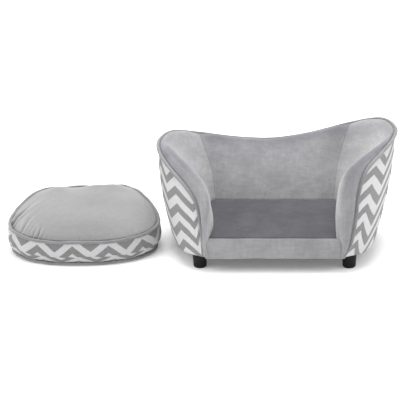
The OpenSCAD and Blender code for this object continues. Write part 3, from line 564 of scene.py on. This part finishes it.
def padding(name, nodes, a, b):
    """The padded face from place a to place b along the rim."""
    u = np.linspace(a, b, int((b - a) / 0.035))
    t = np.linspace(0, 3, 76)
    p = inner_face(u, t)
    for _ in range(60):  # a soft ridge
        p[:, 4:-4] += (p[:, 5:-3] - 2 * p[:, 4:-4] + p[:, 3:-5]) / 4
    n = unit(np.cross(np.gradient(p, axis=0), np.gradient(p, axis=1)))
    facing = np.sign((n * (WELL - p)).sum(-1).mean())
    n = n * facing
    uu, tt = np.meshgrid(u, t, indexing="ij")
    held = ease(tt / 0.25) * ease((3 - tt) / 0.4)
    rise = 0.0022 * hump(tt, 0.35, 0.22)
    # the seams where the arms meet the back lie in a soft valley
    for at in (9.0, 13.0):
        rise = rise - held * (0.0035 * hump(uu, at, 0.30) + 0.0007 * hump(uu, at, 0.09))
    # the left arm is slimmer low down
    rise = rise - 0.0045 * held * hump(uu, 3.6, 1.4) * hump(tt, 2.3, 0.7)
    # fine gathers along the cord where it turns over the wings
    along_rim = np.cumsum(np.linalg.norm(np.gradient(curve(RIM, u), axis=0), axis=1))
    for at, depth in ((14.4, 0.0010), (7.4, 0.0006)):
        gather = np.sin(along_rim / 0.0021 + 1.5 * np.sin(along_rim / 0.013))
        gather = (gather * depth * hump(u, at, 1.3))[:, None]
        rise = rise + gather * np.exp(-tt / 0.45) * ease(tt / 0.08)
    # a soft hollow between the cord and the front of the left wing
    rise = rise - 0.0045 * hump(uu, 5.0, 1.3) * hump(tt, 0.5, 0.22)
    rise = rise + held * (ripple(p, 0.07, 1.7) * 0.0012 + ripple(p, 0.03, 6.1) * 0.0004)
    p = p + n * rise[..., None]
    # the edge is tucked down beside the seat, and back behind the apron's ends
    down = ease((np.minimum(u, END - u) - 1.2) / 0.8)
    turn = np.stack([0 * u, 0.006 * (1 - down), -down * curve(TUCK_H, u)[:, 0]], 1)
    tuck = p[:, -1:] + turn[:, None] * np.linspace(0.25, 1, 4)[None, :, None]
    p = np.concatenate([p, tuck], 1)
    obj = sheet(name, p, thick=0.002, flip=facing < 0)
    # painted light and shade on the pile: painted shade by the cord, along the
    # crests, in the corners and under the rim; painted light where the arms turn
    # to the light and low on the back
    cloudy = 0.7 + 0.5 * ripple(inner_face(u, t), 0.05, 2.6)
    mid = np.abs(uu - LAST)  # 2 at the seams between the arms and the back
    arms = ease((mid - 3) / 0.8)
    back_top = ease((2.2 - mid) / 0.6) * ease((1.5 - tt) / 0.7)
    back_sides = hump(mid, 1.85, 0.35) * (mid < 2) * ease((tt - 0.2) / 0.4)
    back_low = ease((1.5 - mid) / 0.8) * ease((tt - 1.4) / 0.8)
    dark = (0.52 * hump(tt, 0, 0.07 + 0.10 * ease((2.6 - mid) / 1.2))
            + 0.15 * hump(tt, 0.35, 0.35) * cloudy + 0.12 * arms * hump(tt, 0.9, 0.3)
            + 0.38 * back_top + 0.13 * back_sides - 0.06 * back_low)
    left_wing = ease((uu - 6) / 1.5) * ease((8.4 - uu) / 0.8)
    right_wing = ease((uu - 13.8) / 0.9) * ease((20.5 - uu) / 1.5)
    light = (0.10 * left_wing + 0.34 * right_wing) * ease((tt - 0.7) / 0.6)
    # patches of painted light and painted shade
    for at_u, wide_u, at_t, wide_t, much in LIGHT_AND_SHADE_PATCHES:
        light = light + much * hump(uu, at_u, wide_u) * hump(tt, at_t, wide_t)
    shade = 1 - dark + light
    painted_light_and_shade(obj, np.concatenate([shade, np.repeat(shade[:, -1:], 4, 1)], 1))
    dress(obj, VELVET, "sofa", nodes)


padding("left_arm_padding", ["left_arm_cover", "left_arm_foam"], 0.03, 8.998)
padding("right_arm_padding", ["right_arm_cover", "right_arm_foam"], 13.002, 21.97)
padding("back_padding", ["back_cover", "back_foam"], 9.002, 12.998)


def rim_cord():
    path, _, _, out = rim_frame(np.linspace(0.06, END - 0.06, 436))
    path = path + out * 0.0010
    radius = 0.0050 * (1 + 0.04 * ripple(path, 0.03, 5.0))
    obj = tube("rim_cord", path, radius, sides=18)
    dress(obj, CORD_VELVET, "sofa", ["rim_piping"])


rim_cord()


# The seat: a flat pad, its edges rolled down into the seams. Its rings, from the
# edge inwards: the share of the outline's size, and how far down they lie
SEAT_RINGS = [(1, 0.012), (1, 0.005), (0.992, 0.0022), (0.975, 0.0007), (0.95, 0),
              (0.9, 0), (0.8, 0), (0.68, 0), (0.55, 0), (0.42, 0), (0.3, 0), (0.18, 0),
              (0.08, 0)]


def seat_outline():
    """The seat's edge in the plan: round the seams, and back along the front."""
    front = FRONT_Y + APRON_T
    p = curve(SEAT, np.linspace(2.0, END - 2.0, 150))[:, :2]
    run = np.linspace(p[-1, 0], p[0, 0], 40)[1:-1]
    p[:, 1] = np.maximum(p[:, 1], front)
    return np.concatenate([p, np.stack([run, np.full(len(run), front)], 1)])


def seat_pad():
    edge = seat_outline()
    centre = np.array([0.0, FRONT_Y + SEAT_D / 2])
    rings = []
    for share, drop in SEAT_RINGS:
        xy = centre + (edge - centre) * share
        z = SEAT_H - 0.0004 - drop + 0.002 * (1 - share ** 2)
        rings.append(np.c_[xy, z + ripple(flat(xy), 0.08, 9.0) * 0.0008])
    n = len(edge)
    faces = grid_faces(len(rings), n, loop_v=True)
    pts = np.concatenate(rings + [[[*centre, SEAT_H + 0.0016]]])
    last = (len(rings) - 1) * n
    faces += [(last + j, last + (j + 1) % n, len(pts) - 1) for j in range(n)]
    obj = make("seat_pad", pts + SHIFT, faces)
    dress(obj, SEAT_VELVET, "sofa", ["seat_cover", "seat_foam"])


seat_pad()


# The apron below the seat's front edge
def apron():
    left = curve(SEAT, np.linspace(0, 2, 40))
    right = curve(SEAT, np.linspace(END, END - 2, 40))
    # rows from below the lower edge to behind the seat: height, and how far out
    rows = [(z, 0.0022 * math.sin(math.pi * k / 35) ** 0.6)
            for k, z in enumerate(np.linspace(UNDER, SEAT_H - 0.0005, 36))]
    rows = ([(UNDER, -0.010), (UNDER - 0.0002, -0.004), (UNDER - 0.0002, -0.0012)] + rows
            + [(SEAT_H + 0.0001, -0.0008), (SEAT_H - 0.0002, -0.0018),
               (SEAT_H - 0.0017, -0.0026), (SEAT_H - 0.0045, -0.0029)])
    s = np.linspace(0, 1, 170)
    s = (s + 0.5 - 0.5 * np.cos(math.pi * s)) / 2  # closer points at the ends
    p = []
    for z, out in rows:
        start, end = [np.interp(z, side[:, 2], side[:, 0]) for side in (left, right)]
        x = start - 0.003 + (end - start + 0.006) * s
        # the ends turn in behind the fronts of the arms
        past = np.maximum(x - end, start - x)
        bend = np.clip((past + 0.0032) / 0.0032, 0, 1.26) ** 2 * 0.005
        p.append(np.c_[x, FRONT_Y - out + bend, np.full(len(x), z)])
    p = np.array(p).transpose(1, 0, 2)
    p[..., 1] -= ripple(p, 0.06, 4.4) * 0.0007
    p[..., 2] += ripple(p * [1, 0, 0], 0.05, 2.2) * 0.0012 * (p[..., 2] < UNDER + 0.004)
    obj = sheet("apron", p, thick=0.0015, flip=True)
    dress(obj, VELVET, "sofa", ["apron_cover"])


apron()


# The cushion, in its own frame: its centre over the origin, front to -Y. Half
# of its outline, from the middle of the front to the middle of the back
PLAN = [[0, -1], [0.26, -0.985], [0.50, -0.93], [0.73, -0.81], [0.90, -0.63],
        [0.99, -0.40], [1, -0.15], [0.94, 0.19], [0.83, 0.53], [0.69, 0.84],
        [0.50, 1], [0.25, 1], [0, 1]]
CUSHION_W, CUSHION_D = 0.434, 0.376
FRONT_TOP, BACK_TOP = 0.076, 0.096
CROWN, BAND_BULGE, CUSHION_CORD = 0.030, 0.007, 0.004
DRAW_IN = 0.007  # the lower cord is tucked in below
# The zip in the rear band, in the cushion's frame
ZIP_L, ZIP_Y, ZIP_Z, TAPE_W = 0.200, 0.1913, 0.06403, 0.013
plan = np.array(PLAN + [[-x, y] for x, y in PLAN[-2:0:-1]]) * [CUSHION_W / 2, CUSHION_D / 2]
PLAN_N = len(plan)


def plan_points(t):
    """Points on the outline at places t, one per row of the plan."""
    q = np.concatenate([plan[-3:], plan, plan[:4]])
    return curve(q, np.asarray(t) % PLAN_N + 3)


def plan_frame(t):
    """Points on the outline, and the directions out of it."""
    p = plan_points(t)
    d = unit(plan_points(t + 0.05) - plan_points(t - 0.05))
    return p, np.stack([d[:, 1], -d[:, 0]], 1)


def near_place(xy, x, y, size):
    """A smooth hump at a place in the plan."""
    return np.exp(-((xy[..., 0] - x) ** 2 + (xy[..., 1] - y) ** 2) / size ** 2)


def upper_z(xy):
    """The upper seam's height: it rises to the back, and dips at the back left."""
    rise = (BACK_TOP - FRONT_TOP) * (xy[..., 1] / CUSHION_D + 0.5)
    return FRONT_TOP + rise - CUSHION_CORD - 0.004 * near_place(xy, -0.09, 0.188, 0.07)


def turned(p):
    """Points of the cushion's own frame, turned as it lies."""
    c, s = math.cos(CUSHION_TURN), math.sin(CUSHION_TURN)
    out = np.array(p, float)
    out[..., 0] = p[..., 0] * c - p[..., 1] * s
    out[..., 1] = p[..., 0] * s + p[..., 1] * c
    return out


RING_N = 360  # points round the cushion
ring_p, ring_out = plan_frame(np.arange(RING_N) * PLAN_N / RING_N)
cord_in = ring_p - ring_out * CUSHION_CORD
LOWER_Z = CUSHION_CORD + 0.0005


def loop_noise(size, seed):
    """A smooth field round the cushion, one number per point."""
    return ripple(flat(ring_p), size, seed)


wobble = loop_noise(0.05, 11.0) * 0.0016  # of the upper seam's height


def cushion_cord(name, node, z, lift, low):
    """A cord round the cushion; the low one is drawn in, and lies on the floor."""
    shift = loop_noise(0.06, 3.3) * 0.0010 - (DRAW_IN if low else 0)
    path = np.c_[cord_in + ring_out * shift[:, None], z + lift]
    r = (0.0040 if low else 0.0045) * (1 + 0.05 * loop_noise(0.02, 8.0))
    if low:
        path[:, 2] = np.maximum(path[:, 2], r + 0.0002)
    obj = tube(name, turned(path), r, sides=14, closed=True, shift=CUSHION_AT)
    dress(obj, VELVET if low else CORD_VELVET, "cushion", [node])


cushion_cord("cushion_top_cord", "cushion_upper_piping", upper_z(cord_in),
             wobble + 0.0006, False)
cushion_cord("cushion_low_cord", "cushion_lower_piping", np.full(RING_N, LOWER_Z),
             0.4 * loop_noise(0.07, 14.0) * 0.0016, True)


SLACK = 0.10  # how much too large the cloth is cut where "slack" is 1
FRAMES = 12


def settle(obj, held, slack, pressure, gravity, cap, stiff, bend):
    """Let a cloth piece find its own wrinkles, then keep that shape. held and
    slack are weights per point: sewn down, and cut too large. No point moves
    further than cap."""
    mesh = obj.data
    n = len(mesh.vertices)
    start = np.empty(n * 3)
    mesh.vertices.foreach_get("co", start)
    start = start.reshape(-1, 3)
    for name, weights in (("held", held), ("slack", slack)):
        group = obj.vertex_groups.new(name=name)
        for i, w in enumerate(np.clip(np.ravel(weights), 0, 1)):
            if w > 0.003:
                group.add([i], float(w), "REPLACE")
    cloth = obj.modifiers.new("settle", "CLOTH")
    c = cloth.settings
    c.quality, c.mass = 7, 0.15
    c.tension_stiffness = c.compression_stiffness = stiff
    c.shear_stiffness, c.bending_stiffness = stiff / 2, bend
    c.tension_damping = c.compression_damping = c.shear_damping = 6
    c.bending_damping, c.air_damping = 1.0, 4.0
    c.vertex_group_mass, c.pin_stiffness = "held", 1.0
    c.vertex_group_shrink, c.shrink_min, c.shrink_max = "slack", 0.0, -SLACK
    c.use_pressure, c.uniform_pressure_force = pressure > 0, pressure
    c.effector_weights.gravity = gravity
    cloth.point_cache.frame_start, cloth.point_cache.frame_end = 1, FRAMES
    scene = bpy.context.scene
    for frame_now in range(1, FRAMES + 1):
        scene.frame_set(frame_now)
    posed = obj.evaluated_get(bpy.context.evaluated_depsgraph_get()).data
    end = np.empty(n * 3)
    posed.vertices.foreach_get("co", end)
    end = end.reshape(-1, 3)
    obj.modifiers.remove(cloth)
    scene.frame_set(1)
    move = end - start
    far = np.linalg.norm(move, axis=1, keepdims=True)
    move = move * (np.tanh(far / cap) * cap / np.maximum(far, 1e-9))
    end = start + move
    end[:, 2] = np.maximum(end[:, 2], 0.0012)  # clear of the floor
    mesh.vertices.foreach_set("co", end.ravel())
    mesh.update()


def finer(obj, thick=0.0):
    """Smooth a piece, and give it a thickness where one is named."""
    m = obj.modifiers.new("finer", "SUBSURF")
    m.levels = m.render_levels = 1
    if thick:
        m = obj.modifiers.new("thickness", "SOLIDIFY")
        m.thickness, m.offset = thick, -1


def panel(name, z_of, count, draw=0.0):
    """A round-cornered panel inside the cord, as an even grid of squares. Also
    its plan, and the share of the way from its middle to its edge."""
    inset = 2 * CUSHION_CORD - 0.0012 + draw
    edge = ring_p - ring_out * inset
    turn = np.unwrap(np.arctan2(edge[:, 1], edge[:, 0]))
    order = np.argsort(turn)
    reach = np.linalg.norm(edge, axis=1)[order]
    turn = turn[order]
    nx, ny = count, int(count * CUSHION_D / CUSHION_W)
    a, b = np.meshgrid(np.linspace(-1, 1, nx), np.linspace(-1, 1, ny), indexing="ij")
    share = np.maximum(np.abs(a), np.abs(b))
    rounded = 0.38  # 0 leaves an even square as it is, 0.5 makes it a circle
    x, y = a * np.sqrt(1 - rounded * b * b), b * np.sqrt(1 - rounded * a * a)
    angle = np.arctan2(y * CUSHION_D, x * CUSHION_W)
    r = np.interp(angle, turn, reach, period=2 * math.pi)
    xy = np.stack([np.cos(angle), np.sin(angle)], -1) * (r * share)[..., None]
    xy[share < 1e-9] = 0
    z = z_of(xy, share)
    p = np.concatenate([xy, z[..., None]], -1)
    obj = make(name, turned(p.reshape(-1, 3)) + CUSHION_AT, grid_faces(nx, ny))
    return obj, xy, share


# Where the fill stands up under the top: place, size and height
PUFFS = [(0.030, 0.150, 0.035, 0.006), (0.085, 0.146, 0.035, 0.006),
         (-0.085, 0.146, 0.032, 0.005), (-0.025, 0.150, 0.020, -0.002)]


def crown(xy, share):
    """The height of the cushion's top, without its folds."""
    z = upper_z(xy) + CROWN * (1 - share ** 3.2)
    for x, y, size, height in PUFFS:
        z = z + height * near_place(xy, x, y, size) * ease((1 - share) / 0.12)
    return z + ripple(flat(xy), 0.12, 6.0) * 0.002 * ease((1 - share) / 0.3)


# Folds in the top where it was gathered into the seam: from and to along the
# outline, how many, their length, which way they run, their depth
GATHERS = [(18.3, 19.3, 5, 0.085, 0.45, 0.0055), (19.2, 20.6, 9, 0.070, 0.35, 0.0064),
           (20.5, 21.9, 8, 0.036, 0.25, 0.0054), (21.9, 24.0, 9, 0.018, 0.10, 0.0038),
           (0.1, 1.6, 4, 0.016, 0.05, 0.0026), (2.5, 3.3, 4, 0.018, -0.15, 0.0044),
           (4.2, 5.6, 5, 0.030, -0.45, 0.0020), (13.2, 15.2, 6, 0.022, 2.6, 0.0020),
           (8.8, 10.8, 6, 0.022, 3.6, 0.0020)]


def folds_at(xy):
    """The height of the folds over the plan, the same at each call."""
    rng = np.random.default_rng(11)
    total = np.zeros(xy.shape[:-1])
    for first, last, count, length, lean, depth in GATHERS:
        for k in range(count):
            t = first + (last - first) * (k + 0.5 + rng.uniform(-0.35, 0.35)) / count
            turn = lean + rng.uniform(-0.16, 0.16)
            reach = length * rng.uniform(0.45, 1.2)
            deep = depth * rng.uniform(0.5, 1.1)
            q = xy - plan_points(np.array([t]))[0]
            way = np.array([math.sin(turn), math.cos(turn)])
            ahead = q @ way
            aside = q @ np.array([way[1], -way[0]])
            aside = aside + 0.12 * ahead ** 2 / reach * rng.uniform(-1, 1)
            wide = 0.0024 + 0.05 * np.maximum(ahead, 0)
            keep = np.exp(-(np.maximum(ahead, 0) / reach) ** 2) * (ahead > -0.004)
            backs = hump(np.abs(aside), 1.7 * wide, wide)
            total += deep * keep * (0.55 * backs - hump(aside, 0, wide))
    return total


def top_panel():
    obj, xy, share = panel("cushion_panel", lambda xy, share: (
        crown(xy, share) + folds_at(xy) * ease((1 - share) / 0.03)), 150)
    slack = 0.1 + 0.5 * near_place(xy, -0.165, -0.105, 0.085)
    settle(obj, ease((share - 0.955) / 0.03), slack, pressure=0.35, gravity=0.0,
           cap=0.004, stiff=40.0, bend=0.1)
    finer(obj, 0.0015)
    # painted shade: a dark line just inside the cord, and darker towards the edge; painted
    # light on the right side and at the left front; 0.03 darker overall
    dark = 0.86 * ease((share - 0.958) / 0.03) + 0.10 * ease((share - 0.84) / 0.12)
    lit = 0.22 * ease(xy[..., 0] / 0.17) + 0.24 * near_place(xy, -0.19, -0.09, 0.06)
    # painted shade down in the folds and painted light on their backs
    folds = folds_at(xy)
    lit = lit + np.where(folds < 0, 95, 40) * folds
    painted_light_and_shade(obj, 1 - dark + lit - 0.03)
    dress(obj, CUSHION_VELVET, "cushion", ["cushion_top", "cushion_fill"])


top_panel()


# The slack band: it hangs out, turns in low down and ends behind the cord.
# Shares of its height, and how far it hangs out there, in bulges
BAND_SHAPE = np.array([
    (0, -0.2), (0.05, -0.45), (0.13, 0.15), (0.26, 0.75), (0.37, 1.10), (0.46, 1.18),
    (0.60, 1.10), (0.82, 0.95), (0.94, 0.65), (1, 0.1)])
TURN_H = 0.37  # the share of its height where the band turns in
BAND_ZIGZAG, BAND_STRIPE = 0.049, 0.051
BAND_RUN = 0.93  # where the zigzag's peaks stand along the band
CLOTH_H, GATHERED = 0.070, 0.150  # cloth per share of height, and more below the turn


def band():
    rows = np.concatenate([np.linspace(0, 0.10, 6), np.linspace(0.125, 1, 34)])
    t = np.interp(rows, BAND_SHAPE[:, 0], np.arange(len(BAND_SHAPE)))
    swell = curve(BAND_SHAPE[:, 1:], t)[:, 0]
    order = (np.arange(RING_N + 1) + RING_N // 2) % RING_N
    inner, out = cord_in[order], ring_out[order]
    z_up = (upper_z(cord_in) + wobble)[order]
    span = z_up - LOWER_Z - 1.2 * CUSHION_CORD
    folds, fine = ripple(flat(inner), 0.045, 21.0), ripple(flat(inner), 0.016, 5.0)
    by_zip = (ease((inner[:, 1] - CUSHION_D / 2 + 0.03) / 0.015)
              * ease((0.125 - np.abs(inner[:, 0])) / 0.015))
    calm = 1 - by_zip
    h = rows[None, :]
    bell = np.sin(math.pi * h)
    low = ease((0.44 - h) / 0.1)
    z = (LOWER_Z + 0.6 * CUSHION_CORD
         + (h + 0.05 * (folds * calm)[:, None] * bell) * span[:, None])
    # flat behind the zip
    swell = swell + by_zip[:, None] * (np.minimum(1.0, 1.15 * bell ** 0.35) - swell)
    swell = swell - (1 - ease(h / 0.55)) * DRAW_IN / BAND_BULGE
    off = (swell * BAND_BULGE + (calm * folds)[:, None] * 0.0022 * bell
           + (calm * fine)[:, None] * 0.0016 * bell * (0.35 + low))
    p = np.concatenate([inner[:, None] + out[:, None] * off[..., None], z[..., None]], -1)
    p[..., 1] -= by_zip[:, None] * np.maximum(0, p[..., 1] - (ZIP_Y - 0.0005))
    run = np.cumsum(np.r_[0, np.linalg.norm(np.diff(inner, axis=0), axis=1)])
    # a whole number of zigzags, so that they meet at the back
    run = (run / run[-1] - 0.5) * 2 * round(run[-1] / (2 * BAND_ZIGZAG))
    one = np.ones((RING_N + 1, len(rows)))
    # the cloth below the turn is gathered, and slips sideways along it
    below = np.minimum(0, h - TURN_H)
    up = ((np.maximum(h, TURN_H) - 1) * CLOTH_H + 0.0055
          + below * (GATHERED - 0.080 * by_zip[:, None]))
    below = below * calm[:, None]
    slip = 0.66 * calm[:, None] * ease(-below / 0.02 + 0.5)
    stripe = up / BAND_STRIPE + 0.2 * ease(-below / 0.02)
    places = np.stack([run[:, None] + BAND_RUN - slip, stripe * one, 0.92 * one], -1)
    thread = np.stack([run[:, None] * BAND_ZIGZAG * one, up * one, 0 * one], -1)
    obj = sheet("cushion_side", turned(p), shift=CUSHION_AT,
                attributes={"cloth": places, "thread": thread})
    held = by_zip[:, None] * one
    held[:, :3] = held[:, -2:] = 1
    held[[0, -1]] = 1
    slack = (0.3 + 0.3 * folds[:, None]) * calm[:, None] * bell
    settle(obj, held, slack, pressure=0.25, gravity=0.15, cap=0.003, stiff=30.0,
           bend=0.05)
    obj.data.flip_normals()
    finer(obj, 0.0012)
    # the band gets the weave with painted shade
    dress(obj, SHADED_BAND_WEAVE, "cushion", ["cushion_band"])


band()


def underside():
    obj, _, _ = panel("cushion_underside", lambda xy, share: (
        0.0004 + 0.0045 * ease((share - 0.95) / 0.05)
        + 0.0008 * ripple(flat(xy), 0.05, 3.0) ** 2), 60, DRAW_IN)
    finer(obj)
    dress(obj, CUSHION_VELVET, "cushion", ["cushion_bottom"])


underside()


# The zip's ribbon, teeth and stitches
def strands(name, paths, radius):
    """Many short round strands as one piece of the cushion."""
    points, faces = [], []
    for path in paths:
        piece = tube("strand", turned(path), radius, sides=6, shift=CUSHION_AT)
        first = len(points)
        points += [tuple(v.co) for v in piece.data.vertices]
        faces += [tuple(first + i for i in f.vertices) for f in piece.data.polygons]
        bpy.data.objects.remove(piece)
    return make(name, points, faces)


def zip_ribbon():
    x = np.linspace(-ZIP_L / 2, ZIP_L / 2, 180)
    z = np.linspace(-TAPE_W / 2, TAPE_W / 2, 16)
    xx, zz = np.meshgrid(x, z, indexing="ij")
    ribs = 0.0002 * np.cos(zz / TAPE_W * 6 * math.pi)
    lift = 0.0006 + ribs + 0.00012 * np.sin(xx / 0.0021)
    p = turned(np.stack([xx, ZIP_Y + lift, ZIP_Z + zz], -1))
    tape = sheet("zip_ribbon", p, thick=0.0006, shift=CUSHION_AT)
    dress(tape, TAPE, "cushion", ["zip_tape"])


def zip_teeth():
    length, pitch, points = ZIP_L - 0.0032, 0.0015, 14  # points per turn
    a = np.arange(int(length / pitch * points) + 1) / points * 2 * math.pi
    coil = np.c_[a / (2 * math.pi) * pitch - length / 2,
                 ZIP_Y + 0.0017 + 0.0005 * np.cos(a), ZIP_Z + 0.00185 * np.sin(a)]
    teeth = tube("zip_teeth", turned(coil), 0.0004, sides=6, shift=CUSHION_AT)
    dress(teeth, ZIP_METAL, "cushion", ["zip_coil"])


def zip_stitches():
    half, pitch, reach = 0.0011, 0.0030, 0.097
    beside = 0.0050  # from the middle of the coil
    k = np.linspace(-1, 1, 5)
    rows = [np.c_[at + k * half, ZIP_Y + 0.0008 + 0.0003 * (1 - k * k),
                  np.full(5, ZIP_Z + side)]
            for side in (-beside, beside) for at in np.arange(-reach, reach, pitch)]
    dress(strands("zip_stitches", rows, 0.00025), CLOTH, "cushion")


zip_ribbon()
zip_teeth()
zip_stitches()


CORNERS = [a + "_" + b for a in ("left", "right") for b in ("front", "rear")]
FEET = [corner + "_foot" for corner in CORNERS]
FOOT_HOLE = 0.0095  # the radius of the holes in the cloth, above the feet


# The cloth below the base, held up flat between the feet
def base_cloth():
    u = np.linspace(0, END, 220)
    edge = curve(BOTTOM, u) + inward(u) * 0.0018  # inside the outer covers
    run = np.linspace(edge[-1, :2], edge[0, :2], 60)[1:-1]
    edge = np.concatenate([edge[:, :2], run])
    feet = [(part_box(n)[0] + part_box(n)[1]) / 2 for n in FEET]
    feet = np.array([[f.x, f.y] for f in feet]) - SHIFT[:2]
    rings = []
    for share in np.linspace(1, 0.02, 44):
        xy = edge * share
        away = np.min([np.linalg.norm(xy - f, axis=1) for f in feet], axis=0)
        sag = ease((away - 0.016) / 0.03) * min(1.0, (1 - share) / 0.06)
        wave = 0.5 + 0.5 * ripple(flat(xy), 0.06, 8.0)
        rings.append(np.c_[xy, UNDER + 0.0004 - 0.0012 * sag * wave])
    n = len(edge)
    pts = np.concatenate(rings)
    faces = []
    for f in grid_faces(len(rings), n, loop_v=True, flip=True):
        middle = pts[list(f), :2].mean(0)
        if min(np.linalg.norm(middle - foot) for foot in feet) > FOOT_HOLE:
            faces.append(f)
    faces.append(tuple((len(rings) - 1) * n + j for j in range(n))[::-1])
    obj = make("base_cloth", pts + SHIFT, faces)
    dress(obj, CLOTH, "sofa", ["dust_cover"])


base_cloth()


# The rigid parts keep their solids
BOARDS = ["base_plate", "left_bearer", "right_bearer", "front_bearer", "back_bearer",
          "front_rail", "seat_board", "left_arm_board", "right_arm_board", "back_board"]
FASTENERS = [corner + "_" + kind for corner in CORNERS for kind in ("bolt", "nut")]
for material, nodes in ((WOOD, BOARDS), (PLASTIC, FEET), (STEEL, FASTENERS),
                        (ZIP_METAL, ["zip_slider", "zip_pull"])):
    for node in nodes:
        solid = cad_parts[node]
        solid.data.materials.clear()
        solid.data.materials.append(material)

# Floor, light and camera
floor = make("floor", [(-9, -9, 0), (9, -9, 0), (9, 9, 0), (-9, 9, 0)], [(0, 1, 2, 3)])
floor_look = Look("floor", Roughness=0.9, Emission_Color=grey(1), Emission_Strength=0.12)
floor_tone = floor_look.mix(floor_look.noise(3.0), grey(0.885), grey(0.895))
floor.data.materials.append(floor_look.set(Base_Color=floor_tone))

scene = bpy.context.scene
scene.view_settings.view_transform = "Standard"
world = bpy.data.worlds.new("studio")
scene.world = world
world.use_nodes = True
background = world.node_tree.nodes["Background"]
background.inputs["Color"].default_value = (1, 1, 1, 1)
background.inputs["Strength"].default_value = 0.80


def area(name, place, aim, size, power):
    """A round lamp, turned to the place it aims at."""
    light = bpy.data.lights.new(name, "AREA")
    light.shape, light.size, light.energy = "DISK", size, power
    obj = bpy.data.objects.new(name, light)
    obj.location = place
    obj.rotation_mode = "QUATERNION"
    obj.rotation_quaternion = (Vector(aim) - Vector(place)).to_track_quat("-Z", "Y")
    scene.collection.objects.link(obj)


area("left_box", (-2.6, -0.9, 2.4), (0.1, 0, 0.1), 2.4, 47)
area("right_box", (2.9, -0.9, 2.3), (0.1, 0, 0.1), 2.4, 40)
area("top_box", (0.1, 0.4, 2.9), (0.1, -0.1, 0), 2.2, 83)
area("back_box", (-0.2, 2.9, 2.2), (-0.2, 2.9, 0), 3.0, 38)

TILT = math.radians(22.5)
AIM = Vector((SHIFT[0], SHIFT[1], 0.18))
PICTURE_PX, FOCAL_PX, DISTANCE = 400, 2100.0, 6.0
LEFT_PX, DOWN_PX = 74.5, 14.4  # from the aim to the middle of the picture
look = Vector((0, math.cos(TILT), -math.sin(TILT)))
right, up = Vector((1, 0, 0)), Vector((0, math.sin(TILT), math.cos(TILT)))
middle = (look - right * (LEFT_PX / FOCAL_PX) - up * (DOWN_PX / FOCAL_PX)).normalized()
cam = bpy.data.objects.new("camera", bpy.data.cameras.new("camera"))
scene.collection.objects.link(cam)
cam.data.sensor_width = 36.0
cam.data.lens = cam.data.sensor_width * FOCAL_PX / PICTURE_PX
cam.location = AIM - look * DISTANCE
cam.rotation_mode = "QUATERNION"
cam.rotation_quaternion = (look.rotation_difference(middle)
                           @ look.to_track_quat("-Z", "Y"))
cam.data.clip_start, cam.data.clip_end = 0.1, 60.0
scene.camera = cam
